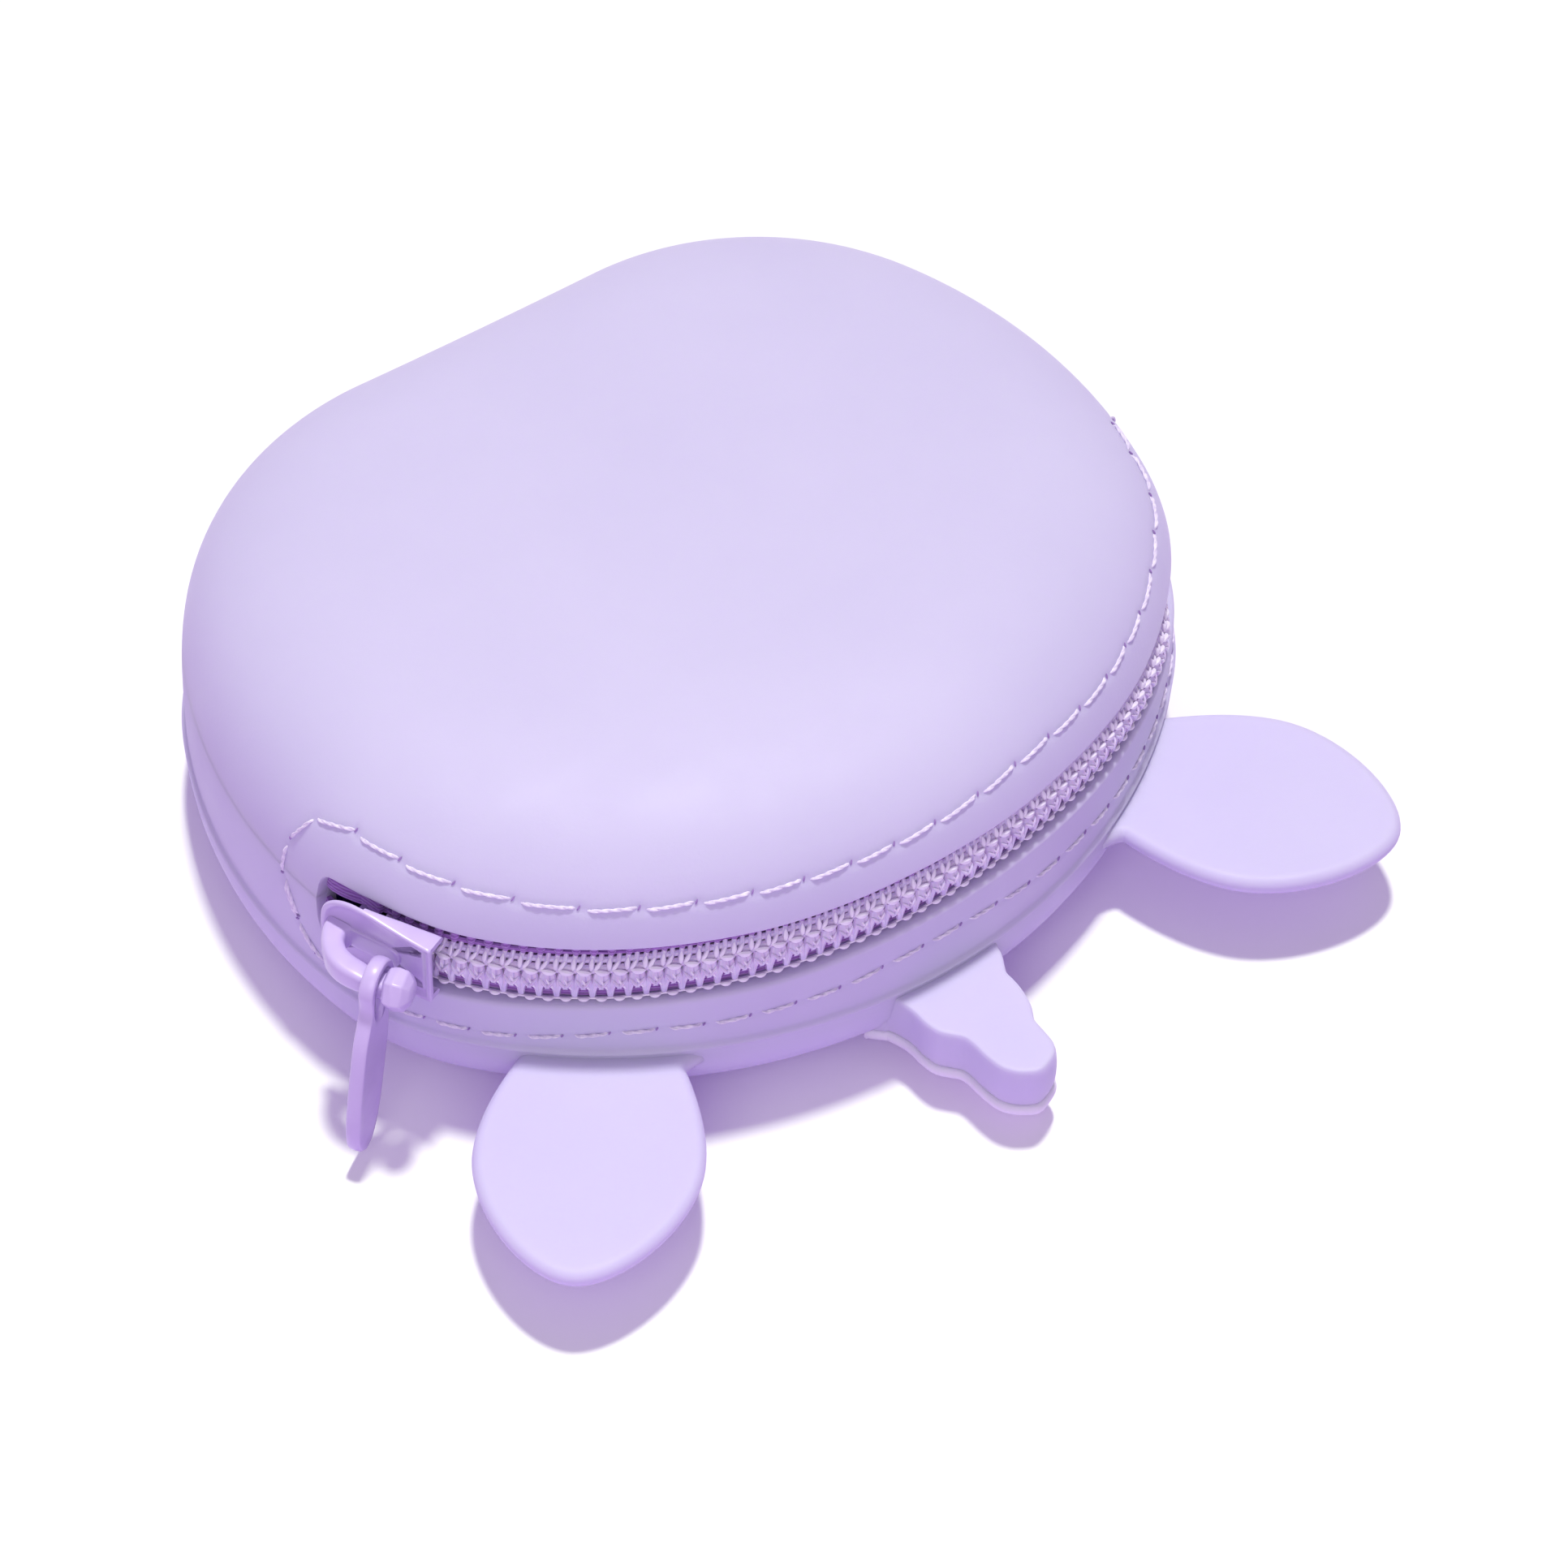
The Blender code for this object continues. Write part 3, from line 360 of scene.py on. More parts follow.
def section(z):
    """Plan share and outward normal (out, up) of the form at heights.

    The normal takes the plan to be as wide as the zip's radius.
    """
    z = np.asarray(z, float)
    rise = np.clip((z - RIDGE_Z) / DOME, 0.0, 0.99999)
    share = (1.0 - rise**DOME_RISE) ** (1.0 / DOME_PLAN)
    out = DOME_PLAN * share ** (DOME_PLAN - 1.0) / ZIP_R
    up = DOME_RISE * rise ** (DOME_RISE - 1.0) / DOME
    depth = RIDGE_Z / (1.0 - REST_SHARE**FACE_PLAN) ** (1.0 / FACE_RISE)
    fall = np.clip((RIDGE_Z - z) / depth, 0.0, 0.99999)
    low_share = (1.0 - fall**FACE_RISE) ** (1.0 / FACE_PLAN)
    low_out = FACE_PLAN * low_share ** (FACE_PLAN - 1.0) / ZIP_R
    low_up = -FACE_RISE * fall ** (FACE_RISE - 1.0) / depth
    below = z < RIDGE_Z
    share = np.where(below, low_share, share)
    out, up = np.where(below, low_out, out), np.where(below, low_up, up)
    size = np.hypot(out, up)
    return share, out / size, up / size


def skin(s, z, depth=0.0, stand=0.0):
    """Points inside the form by depth, at lengths and at the heights of its surface."""
    s, z = np.broadcast_arrays(np.asarray(s, float), np.asarray(z, float))
    share, out, up = section(z)
    x, y, nx, ny = outline(s)
    inset = depth * out - stand
    return np.stack([x * share - nx * inset, y * share - ny * inset, z - depth * up], axis=-1)


def crown_z(share):
    """Height of the dome's surface at a share of the plan."""
    return RIDGE_Z + DOME * (1.0 - np.asarray(share) ** DOME_PLAN) ** (1.0 / DOME_RISE)


def knots(s, table):
    """A table of (s, value) knots read at lengths."""
    table = np.asarray(table, float)
    return np.interp(s, table[:, 0], table[:, 1])


def eased(s, table, width=1.6):
    """Knots read with their corners eased over a width."""
    offsets = np.linspace(-width, width, 9)
    weights = np.cos(offsets / width * math.pi / 2.0) + 0.05
    total = sum(w * knots(np.asarray(s) + o, table) for o, w in zip(offsets, weights))
    return total / weights.sum()


def slot_share(s):
    """0 at and past the slot's ends, 1 where it is fully open, rounded between."""
    left = np.clip((SLOT_END - np.abs(s)) / SLOT_ROUND, 0.0, 1.0)
    return (1.0 - (1.0 - left) ** 2.4) ** (1.0 / 2.4)


def slot_edges(s):
    """Heights of the slot's lower and upper edge."""
    share = slot_share(s)
    up = SLOT_MID + (eased(s, UP_KNOTS) - SLOT_MID) * share
    low = SLOT_MID - (SLOT_MID - eased(s, LOW_KNOTS)) * share
    return low, up


def columns():
    """Lengths round the outline: even ones, with closer ones instead at the slot's ends."""
    even = list(np.arange(-HALF_LENGTH, HALF_LENGTH - 0.2, 0.4))
    fine = [side * (SLOT_END - d) for side in (-1, 1) for d in np.arange(-0.15, 2.6, 0.15)]
    kept = [s for s in even if abs(abs(s) - (SLOT_END - 1.2)) > 1.5]
    return np.array(sorted(kept + fine))


# The seam: where the needle went through, and the stitches between.


def seam_stitch(start, end, path, tilt):
    """A stitch along the seam, its first end a little lower than the seam and its last higher."""
    return (start, float(knots(start, path)) - tilt), (end, float(knots(end, path)) + tilt)


def seam_stitches():
    """Stitches as (s, z) ends: upper run, both end loops and lower run."""
    runs = []
    for i, start in enumerate(UP_STARTS[:-1]):
        end = start + (UP_STARTS[i + 1] - start) * UP_STITCH
        runs.append(seam_stitch(start, end, SEAM_UP, UP_TILT))
    for side in (-1.0, 1.0):
        path = smooth_path(SEAM_LEFT, 12)
        path[:, 0] *= -side
        steps = np.concatenate([[0], np.cumsum(np.linalg.norm(np.diff(path, axis=0), axis=1))])
        for i in range(END_STITCHES):
            ends = [steps[-1] * (i + part) / END_STITCHES for part in (END_FROM, END_TO)]
            runs.append(tuple(tuple(np.interp(e, steps, path[:, k]) for k in (0, 1)) for e in ends))
    runs += LOCKED
    start = LOW_FROM
    while start < LOW_TO:
        runs.append(seam_stitch(start, start + LOW_STITCH, SEAM_LOW, LOW_TILT))
        start += LOW_STEP
    return runs


STITCHES = seam_stitches()
HOLES = np.array([end for pair in STITCHES for end in pair])


def dents(s, z):
    """How far the thread draws the silicone in: deep at the needle's holes, faint along it."""
    depth = np.zeros_like(s)
    for hs, hz in HOLES:
        depth = np.maximum(depth, HOLE_DENT * np.exp(-((s - hs) ** 2 + (z - hz) ** 2) / HOLE_REACH))
    for (s0, z0), (s1, z1) in STITCHES:
        length = math.hypot(s1 - s0, z1 - z0)
        t = np.clip(((s - s0) * (s1 - s0) + (z - z0) * (z1 - z0)) / length**2, 0.0, 1.0)
        away = (s - s0 - t * (s1 - s0)) ** 2 + (z - z0 - t * (z1 - z0)) ** 2
        depth = np.maximum(depth, STITCH_DENT * np.exp(-away / STITCH_REACH))
    return depth


def lip_rows(s, edge, way, r):
    """Rows that turn the outer face into the slot: way is +1 for the upper lip."""
    rows = []
    for turn in LIP_TURNS:
        z = edge + way * r * (1.0 - math.sin(turn))
        rows.append(skin(s, z, r * (1.0 - math.cos(turn))))
    rows.append(skin(s, edge, r + (WALL - r) * 0.5))
    rows.append(skin(s, edge, WALL - r * 0.5))
    rows.append(skin(s, edge + way * r * 0.5, WALL))
    return rows


def outer_rows(s, first, last):
    """Rows of the outer face from the lip to a height, with the seam's dents in it."""
    rows = []
    for t in np.linspace(0.0, 1.0, 30)[1:]:
        z = first + (last - first) * t
        rows.append(skin(s, z, dents(s, z)))
    return rows


def upper_rows():
    """Rings of the flap and crown: from inside the crown, round the upper lip, to the top."""
    s = columns()
    _, edge = slot_edges(s)
    share = slot_share(s)
    outer = outer_rows(s, edge + UP_LIP * share, CROWN_Z)
    tops = np.concatenate([np.linspace(section(CROWN_Z)[0], 0.70, 9)[1:], CROWN_SHARES])
    for value in tops:
        outer.append(skin(s, crown_z(value)))
    inner = []
    for t in np.linspace(0.0, 1.0, 7)[1:]:
        z = edge + (CROWN_Z - edge) * t + INNER_STEP * share * (1.0 - t)
        inner.append(skin(s, z, WALL))
    for value in tops[::2]:
        inner.append(skin(s, crown_z(value), WALL))
    lip = lip_rows(s, edge, 1.0, UP_LIP * share)
    return inner[::-1] + lip[::-1] + outer


def lower_rows():
    """Rings of the lower half: from inside its floor, round the lower lip, to the rest face."""
    s = columns()
    edge, _ = slot_edges(s)
    share = slot_share(s)
    outer = outer_rows(s, edge - LOW_LIP * share, RIDGE_Z + 0.75)
    for z, stand in RIDGE_ROWS:
        outer.append(skin(s, z, 0.0, stand))
    for z in FACE_ROWS:
        outer.append(skin(s, z, 0.0, FACE_STAND))
    x, y, _, _ = outline(s)
    for value in (0.58, 0.5, 0.35, 0.15):
        outer.append(np.stack([x * value, y * value, 0.0 * x], axis=-1))
    inner = []
    for t in (0.35, 0.7, 1.0):
        z = edge + (RIDGE_Z + 0.5 - edge) * t - INNER_STEP * share * (1.0 - t)
        inner.append(skin(s, z, WALL))
    for z in (8.0, 6.0, 4.0, 2.5, 1.3, 0.5, 0.0):
        inner.append(skin(s, z, WALL, FACE_STAND))
    for value in (0.45, 0.2):
        inner.append(np.stack([x * value, y * value, 0.0 * x + WALL], axis=-1))
    lip = lip_rows(s, edge, -1.0, LOW_LIP * share)
    return inner[::-1] + lip[::-1] + outer


# Materials.


def set_sockets(node, sockets):
    for key, value in sockets.items():
        node.inputs[key.replace("_", " ")].default_value = value


def add_node(tree, kind, **sockets):
    node = tree.nodes.new("ShaderNode" + kind)
    set_sockets(node, sockets)
    return node


class Paint:
    """A Principled material and a few node helpers."""

    def __init__(self, name, **sockets):
        self.mat = bpy.data.materials.new(name)
        self.mat.use_nodes = True
        self.tree = self.mat.node_tree
        self.shader = self.tree.nodes["Principled BSDF"]
        set_sockets(self.shader, sockets)
        self.coords = add_node(self.tree, "TexCoord").outputs["Object"]

    def noise(self, scale, detail=2.0, stretch=None):
        node = add_node(self.tree, "TexNoise", Scale=scale, Detail=detail)
        source = self.coords
        if stretch:
            mapping = add_node(self.tree, "Mapping", Scale=stretch)
            self.tree.links.new(source, mapping.inputs["Vector"])
            source = mapping.outputs["Vector"]
        self.tree.links.new(source, node.inputs["Vector"])
        return node.outputs["Fac"]

    def wave(self, axis):
        node = add_node(self.tree, "TexWave", Scale=900.0, Distortion=0.2)
        node.bands_direction = axis
        self.tree.links.new(self.coords, node.inputs["Vector"])
        return node.outputs["Fac"]

    def ramp(self, value, stops):
        """A value turned into colours, or into plain numbers, at stops."""
        node = add_node(self.tree, "ValToRGB")
        ramp = node.color_ramp
        while len(ramp.elements) < len(stops):
            ramp.elements.new(0.5)
        for element, (place, colour) in zip(ramp.elements, stops):
            element.position = place
            element.color = (*colour, 1.0) if isinstance(colour, tuple) else (colour,) * 3 + (1.0,)
        self.tree.links.new(value, node.inputs["Fac"])
        return node.outputs["Color"]

    def colour(self, value):
        self.tree.links.new(value, self.shader.inputs["Base Color"])

    def roughness(self, value):
        self.tree.links.new(value, self.shader.inputs["Roughness"])

    def bumps(self, layers):
        """Bump from (height, strength, distance in millimetres) layers, one on another."""
        normal = None
        for height, strength, distance in layers:
            node = add_node(self.tree, "Bump", Strength=strength, Distance=distance * MM)
            self.tree.links.new(height, node.inputs["Height"])
            if normal:
                self.tree.links.new(normal, node.inputs["Normal"])
            normal = node.outputs["Normal"]
        self.tree.links.new(normal, self.shader.inputs["Normal"])


def silicone(name, light, dark):
    p = Paint(name, Roughness=0.52, Subsurface_Weight=0.35, Subsurface_Scale=0.0032,
              Subsurface_Radius=(1.0, 0.78, 1.15), Sheen_Weight=0.12, Sheen_Roughness=0.6,
              Specular_IOR_Level=0.32)
    p.colour(p.ramp(p.noise(55.0, 3.0), ((0.3, dark), (0.7, light))))
    p.roughness(p.ramp(p.noise(240.0, 4.0), ((0.25, 0.47), (0.75, 0.60))))
    p.bumps(((p.noise(2600.0, 2.0), 0.22, 0.05), (p.noise(420.0, 2.0), 0.12, 0.08)))
    return p.mat


def painted_metal():
    p = Paint("painted_metal", Roughness=0.34, Coat_Weight=0.35, Coat_Roughness=0.22)
    p.colour(p.ramp(p.noise(180.0, 3.0), ((0.3, (0.58, 0.46, 0.77)), (0.7, (0.65, 0.53, 0.84)))))
    p.roughness(p.ramp(p.noise(900.0, 3.0), ((0.3, 0.30), (0.7, 0.42))))
    p.bumps(((p.noise(1500.0, 2.0), 0.12, 0.04),))
    return p.mat


def nylon():
    p = Paint("coil_nylon", Roughness=0.24, Subsurface_Weight=0.15, Subsurface_Scale=0.0008,
              Coat_Weight=0.3, Coat_Roughness=0.15)
    p.colour(p.ramp(p.noise(700.0, 3.0), ((0.3, (0.64, 0.50, 0.76)), (0.7, (0.80, 0.69, 0.89)))))
    p.bumps(((p.noise(1400.0, 2.0, stretch=(1.0, 1.0, 0.3)), 0.2, 0.05),))
    return p.mat


# Lighter nylon for the chain's thread and for heads, on which it is painted highlight.
def sewing_and_highlight():
    p = Paint("nylon_sewing_and_painted_highlight", Roughness=0.28, Coat_Weight=0.3, Coat_Roughness=0.15)
    p.colour(p.ramp(p.noise(900.0, 3.0), ((0.3, (0.84, 0.76, 0.92)), (0.7, (0.95, 0.91, 0.99)))))
    p.bumps(((p.noise(5000.0, 2.0), 0.4, 0.04),))
    return p.mat


# The tape's own woven purple; the stops take it too as painted shade, and the ribs over the upper
# legs partly so.
def woven():
    p = Paint("tape_weave_and_painted_shade", Roughness=0.85, Sheen_Weight=0.3, Sheen_Roughness=0.5)
    slanted, level = p.wave("DIAGONAL"), p.wave("Z")
    p.colour(p.ramp(level, ((0.2, (0.27, 0.11, 0.42)), (0.8, (0.42, 0.21, 0.60)))))
    p.bumps(((slanted, 0.5, 0.12), (level, 0.5, 0.12)))
    return p.mat


def thread():
    p = Paint("seam_thread", Roughness=0.6, Sheen_Weight=0.4, Sheen_Roughness=0.4)
    p.colour(p.ramp(p.noise(2200.0, 2.0), ((0.3, (0.70, 0.62, 0.80)), (0.7, (0.92, 0.87, 0.96)))))
    p.bumps(((p.noise(6000.0, 2.0), 0.4, 0.04),))
    return p.mat


# Dark purple for the slits at the needle holes: painted shade.
def hole():
    p = Paint("needle_hole_painted_shade", Roughness=0.8)
    p.colour(p.ramp(p.noise(3000.0, 2.0), ((0.3, (0.30, 0.18, 0.44)), (0.7, (0.40, 0.27, 0.56)))))
    return p.mat


LILAC = silicone("silicone_lilac", (0.632, 0.590, 0.795), (0.608, 0.566, 0.775))
WHITE = silicone("silicone_white", (0.90, 0.88, 0.95), (0.86, 0.84, 0.93))
METAL = painted_metal()
NYLON = nylon()
WEAVE_AND_SHADE = woven()
SEWING_AND_HIGHLIGHT = sewing_and_highlight()
HOLE_SHADE = hole()
THREAD = thread()


# Pieces.


def make_skin():
    """The silicone above the slot, with its place baked into its mesh, and the body below it,
    attached to the purse.
    """
    upper = new_object("silicone_upper", *loft(upper_rows()), LILAC)
    lower = new_object("silicone_lower", *loft(lower_rows()), LILAC)
    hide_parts("mouth_flap")
    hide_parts("silicone_body")
    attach(lower, "purse")
    bend(upper)


def bend(piece):
    """Bake a piece's place into its mesh."""
    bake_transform(piece)


def thread_rows(a, b, sunk):
    """Two plies twisted round each other from one needle hole to the next."""
    steps = 22
    t = np.linspace(0.0, 1.0, steps)
    s = a[0] + (b[0] - a[0]) * t
    z = a[1] + (b[1] - a[1]) * t
    height = THREAD_HIGH - sunk - (THREAD_DROP - sunk) * np.abs(2.0 * t - 1.0) ** 7
    middle = skin(s, z, -height)
    length = math.hypot(b[0] - a[0], b[1] - a[1])
    out = skin(s, z, -height - 1.0) - middle
    side = np.cross(out, unit(np.gradient(middle, axis=0)))
    rows = []
    for phase in (0.0, math.pi):
        turn = (t * length * math.pi + phase)[:, None]
        path = middle + (np.cos(turn) * side + np.sin(turn) * out) * PLY_OFF
        rows.append(tube(path, [PLY_RADIUS] * steps, 6))
    return rows


def hole_shade_rows(a, b):
    """A dark slit of painted shade at a needle hole, just past the end b of a stitch, across the
    seam.
    """
    length = math.hypot(b[0] - a[0], b[1] - a[1])
    us, uz = (b[0] - a[0]) / length, (b[1] - a[1]) / length
    t = np.linspace(-1.0, 1.0, 7)
    s = b[0] + us * SLIT_PAST - uz * SLIT_HALF * t + us * SLIT_SLANT * t
    z = b[1] + uz * SLIT_PAST + us * SLIT_HALF * t
    path = skin(s, z, SLIT_DEPTH)
    return tube(path, SLIT_WIDE * np.sqrt(np.clip(1.0 - t * t, 0.0, 1.0)) + 0.02, 6)


def make_seam():
    """Thread, and dark slits of painted shade at its needle holes, above the slot and below it."""
    names = ("thread_upper", "thread_lower", "holes_upper", "holes_lower")
    parts = {name: Parts() for name in names}
    for a, b in STITCHES:
        half = "upper" if a[1] > SLOT_MID and b[1] > SLOT_MID else "lower"
        for rows in thread_rows(a, b, 0.0 if half == "upper" else LOW_SUNK):
            parts["thread_" + half].add(rows)
        parts["holes_" + half].add(hole_shade_rows(a, b))
    for name, part in parts.items():
        # The slits' dark purple is painted shade.
        mat = THREAD if "thread" in name else HOLE_SHADE
        piece = new_object("seam_" + name, part.verts, part.faces, mat)
        if "upper" in name:
            bend(piece)
        else:
            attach(piece, "purse")


# The zip.


def on_chain(s, across, height):
    """A place on the chain: along the outline, across in half widths, up from its tape."""
    s = np.asarray(s, float)
    z = eased(s, CHAIN_KNOTS) + across * eased(s, HALF_KNOTS)
    return skin(s, z, eased(s, CHAIN_DEEP) + CHAIN_HIGH - np.asarray(height, float))


def strand(parts, places, radii, squash=None, sides=8):
    """A smooth strand through places on the chain, (s, across, height)."""
    path = smooth_path([(*p, r, q) for p, r, q in zip(places, radii, squash or radii)], 4)
    parts.add(tube(on_chain(path[:, 0], path[:, 1], path[:, 2]), path[:, 3], sides, path[:, 4]))


def head(parts, first, last, bow, wide, high):
    """A leaf-shaped bead between two places on the chain."""
    t = np.linspace(0.0, 1.0, 11)
    swell = np.sin(np.pi * np.clip(t, 0.02, 0.98)) ** 0.65
    place = [np.interp(t, (0.0, 1.0), (first[k], last[k])) for k in range(3)]
    points = on_chain(place[0], place[1], place[2] + bow * swell)
    parts.add(tube(points, wide * swell, 8, high * swell))


def coil_pitch(coil, sew_and_highlight, s, side):
    """What one pitch of the chain shows: heads at its middle, legs beside them, thread on top; the
    heads drawn in the lighter nylon are painted highlights.
    """
    if side < 0:
        # This head is drawn in the lighter nylon: a painted highlight.
        head(sew_and_highlight, (s - 0.62, 0.035, 1.54), (s + 0.74, -0.05, 1.50), 0.18, 0.25, 0.32)
        strand(coil, ((s - 0.1, -0.04, 1.34), (s - 0.1, -0.26, 1.46), (s - 0.06, -0.44, 1.38),
                      (s, -0.56, 1.10)), (0.30, 0.40, 0.36, 0.20))
        for way in (-1.0, 1.0):
            strand(coil, ((s + way * 0.34, -0.08, 1.36), (s + way * 0.50, -0.36, 1.42),
                          (s + way * 0.68, -0.62, 1.36), (s + way * 0.77, -0.88, 1.20)),
                   (0.28, 0.36, 0.32, 0.29))
            head(coil, (s + way * 0.66, -0.22, 1.66), (s - way * 0.20, -0.56, 1.66),
                 0.12, 0.20, 0.20)
        head(sew_and_highlight, (s - 0.10, -0.20, 1.78), (s + 0.62, -0.62, 1.56), 0.08, 0.13, 0.13)
        head(sew_and_highlight, (s - 0.54, -0.985, 1.20), (s + 0.54, -1.0, 1.20), 0.20, 0.21, 0.23)
    else:
        # Both heads are drawn in the lighter nylon: painted highlights.
        head(sew_and_highlight, (s - 0.16, 0.0, 1.44), (s - 0.02, 0.37, 1.32), 0.12, 0.19, 0.22)
        head(sew_and_highlight, (s + 0.14, 0.0, 1.46), (s + 0.74, 0.29, 1.38), 0.10, 0.17, 0.20)
        strand(coil, ((s - 0.1, 0.04, 1.20), (s - 0.04, 0.26, 1.16), (s + 0.1, 0.44, 0.90)),
               (0.24, 0.28, 0.20))
        strand(coil, ((s + 0.5, 0.08, 1.20), (s + 0.72, 0.28, 1.14), (s + 0.8, 0.44, 0.86)),
               (0.24, 0.26, 0.20))


def add_cord(parts, across, high, radius, sides=8):
    """A cord along the whole chain."""
    run = np.arange(CHAIN_FIRST - 0.2, CHAIN_LAST + 0.2, PITCH / 8.0)
    parts.add(tube(on_chain(run, across, high), np.full(len(run), radius), sides))


def make_weft_and_shade(middles):
    """Ribs in the tape's dark colour between the chain and the lip, over the coil's upper legs:
    partly the tape, partly painted shade on the legs.
    """
    weft_and_shade = Parts()
    for s in middles:
        strand(weft_and_shade, ((s + 0.1, 0.42, 0.95), (s + 0.1, 0.60, 1.02), (s + 0.1, 0.86, 0.85)),
               (0.25, 0.42, 0.34))
    add_cord(weft_and_shade, 0.46, 0.84, 0.22)
    add_cord(weft_and_shade, 0.80, 0.80, 0.30)
    # The ribs' dark colour is partly painted shade over the legs.
    weft_and_shade = new_object("cloth_weft_and_painted_shade", weft_and_shade.verts, weft_and_shade.faces, WEAVE_AND_SHADE)
    bend(weft_and_shade)


def make_coils():
    """Both rows of elements, half a pitch apart, each with its thread and its lighter heads, which
    are painted highlights, as a piece of its own.
    """
    turns = int((CHAIN_LAST - CHAIN_FIRST) / PITCH)
    for name, side, phase in (("coil_upper", 1.0, 0.5), ("coil_lower", -1.0, 0.0)):
        middles = [CHAIN_FIRST + PITCH * (i + phase) for i in range(turns)]
        coil, sew_and_highlight = Parts(), Parts()
        for s in middles:
            coil_pitch(coil, sew_and_highlight, s, side)
        add_cord(sew_and_highlight, side * 0.995, 1.20, 0.12, 6)
        add_cord(coil, side * 0.04, 1.14, 0.34)
        add_cord(coil, side * 0.26, 1.0, 0.30)
        if side > 0:
            make_weft_and_shade(middles)
        coil = new_object(name, coil.verts, coil.faces, NYLON)
        # The lighter nylon: thread, and painted highlights on the heads.
        sew_and_highlight = new_object("sewing_and_highlight_" + name, sew_and_highlight.verts, sew_and_highlight.faces, SEWING_AND_HIGHLIGHT)
        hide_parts("zip_" + name)
        for piece in (coil, sew_and_highlight):
            ride_half(piece, side)


def ride_half(piece, side):
    """The zip's lower half is attached to the body; its upper half only has its place baked into
    its mesh.
    """
    if side > 0:
        bend(piece)
    else:
        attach(piece, "purse")


def make_tapes():
    """Two woven strips: under the chain, then out behind the wall, where the seam holds them."""
    lengths = np.linspace(-TAPE_END, TAPE_END, 300)
    deep = eased(lengths, TAPE_DEEP)
    middle, half = eased(lengths, CHAIN_KNOTS), eased(lengths, HALF_KNOTS)
    for name, side in (("zip_tape_upper", 1.0), ("zip_tape_lower", -1.0)):
        lift = 0.0 if side > 0 else TAPE_LIFT
        across = ((0.22, 0.1), (0.35, 0.0), (0.6, -lift), (0.98, -lift), (1.04, 0.1))
        faces = []
        for thick in (0.0, TAPE_THICK):
            rows = [skin(lengths, middle + side * c * half, deep + sunk + thick)
                    for c, sunk in across]
            rows += [skin(lengths, ZIP_Z + side * off, WALL + HEM_GAP + thick) for off in TAPE_HEM]
            faces.append(rows)
        ring = faces[0] + faces[1][::-1]
        rings = [np.array([row[i] for row in ring]) for i in range(len(lengths))]
        tape = new_object("cloth_" + name, *loft(rings), WEAVE_AND_SHADE)
        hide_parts(name)
        ride_half(tape, side)


def make_stops():
    """Moulded nylon stops, drawn in the tape's dark colour as painted shade: two at the closed end,
    beside the slider, and one across the other.

    Each is given by its ends along the zip and its edges across the chain, in half widths.
    """
    for name, first, last, low, high in (("top_stop_upper", -54.2, -51.3, 0.22, 0.84),
                                         ("top_stop_lower", -54.2, -51.3, -0.84, -0.22),
                                         ("bottom_stop", 52.9, 54.7, -0.84, 0.84)):
        rows = []
        for height, inset in ((0.0, 0.12), (0.15, 0.0), (1.1, 0.0), (1.4, 0.12), (1.5, 0.32)):
            ring = []
            for turn in np.arange(24) * math.pi / 12.0:
                c, v = squared(turn, 0.5)
                s = (first + last) / 2.0 + c * ((last - first) / 2.0 - inset)
                across = (low + high) / 2.0 + v * ((high - low) / 2.0 - inset / 3.3)
                ring.append(on_chain(s, across, height))
            rows.append(np.array(ring))
        # The tape's dark colour on the stops is painted shade.
        stop = new_object("moulded_" + name, *loft(rows), WEAVE_AND_SHADE, 50.0)
        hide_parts(name)
        ride_half(stop, 1.0 if name == "top_stop_upper" else -1.0)


# Ears and horn.


def bezier(a, b, c, d, steps):
    """Places on a cubic curve, its last point left out."""
    t = np.linspace(0.0, 1.0, steps, endpoint=False)[:, None]
    a, b, c, d = (np.asarray(p, float) for p in (a, b, c, d))
    s = 1.0 - t
    return s**3 * a + 3 * s * s * t * b + 3 * s * t * t * c + t**3 * d


def shrink(points, amount):
    """A clockwise closed outline drawn in along its own normals."""
    before = unit(points - np.roll(points, 1, axis=0))
    after = unit(np.roll(points, -1, axis=0) - points)
    along = unit(before + after)
    return points + np.stack([along[:, 1], -along[:, 0]], axis=1) * amount


def ear_outline():
    """An ear in plan, (out from the body, across), with fillets at its root."""
    length, half, root = EAR_LONG, EAR_HALF, EAR_ROOT
    widest = (length * 0.445, half)
    low = bezier((0.0, root), (length * 0.15, half * 0.88), (length * 0.30, half), widest, 12)
    high = bezier(widest, (length * 0.70, half), (length, half * 0.42), (length, 0.0), 22)
    fillet = []
    for t in np.linspace(0.0, 1.0, 7, endpoint=False):
        flare = 1.7 * (1.0 - math.sin(t * math.pi / 2.0))
        fillet.append((-1.3 + 1.9 * t, root - 0.25 + flare + 0.35 * t))
    keep = [p for p in low if p[0] > 0.7]
    side = np.array([(-1.9, root + 1.5)] + fillet + keep + list(high))
    mirrored = side[::-1] * np.array([1.0, -1.0])
    return np.vstack([side, [[length, 0.0]], mirrored])


def plate_rows(points, low, high, rounding, place):
    """Rings of a soft flat plate with a rounded edge."""
    rows = [place(shrink(points, rounding + 0.3), low)]
    for turn in np.radians(np.linspace(-90.0, 90.0, 11)):
        ring = shrink(points, rounding * (1.0 - math.cos(turn)))
        rows.append(place(ring, (low + high) / 2.0 + (high - low) / 2.0 * math.sin(turn)))
    rows.append(place(shrink(points, rounding + 0.3), high))
    return rows


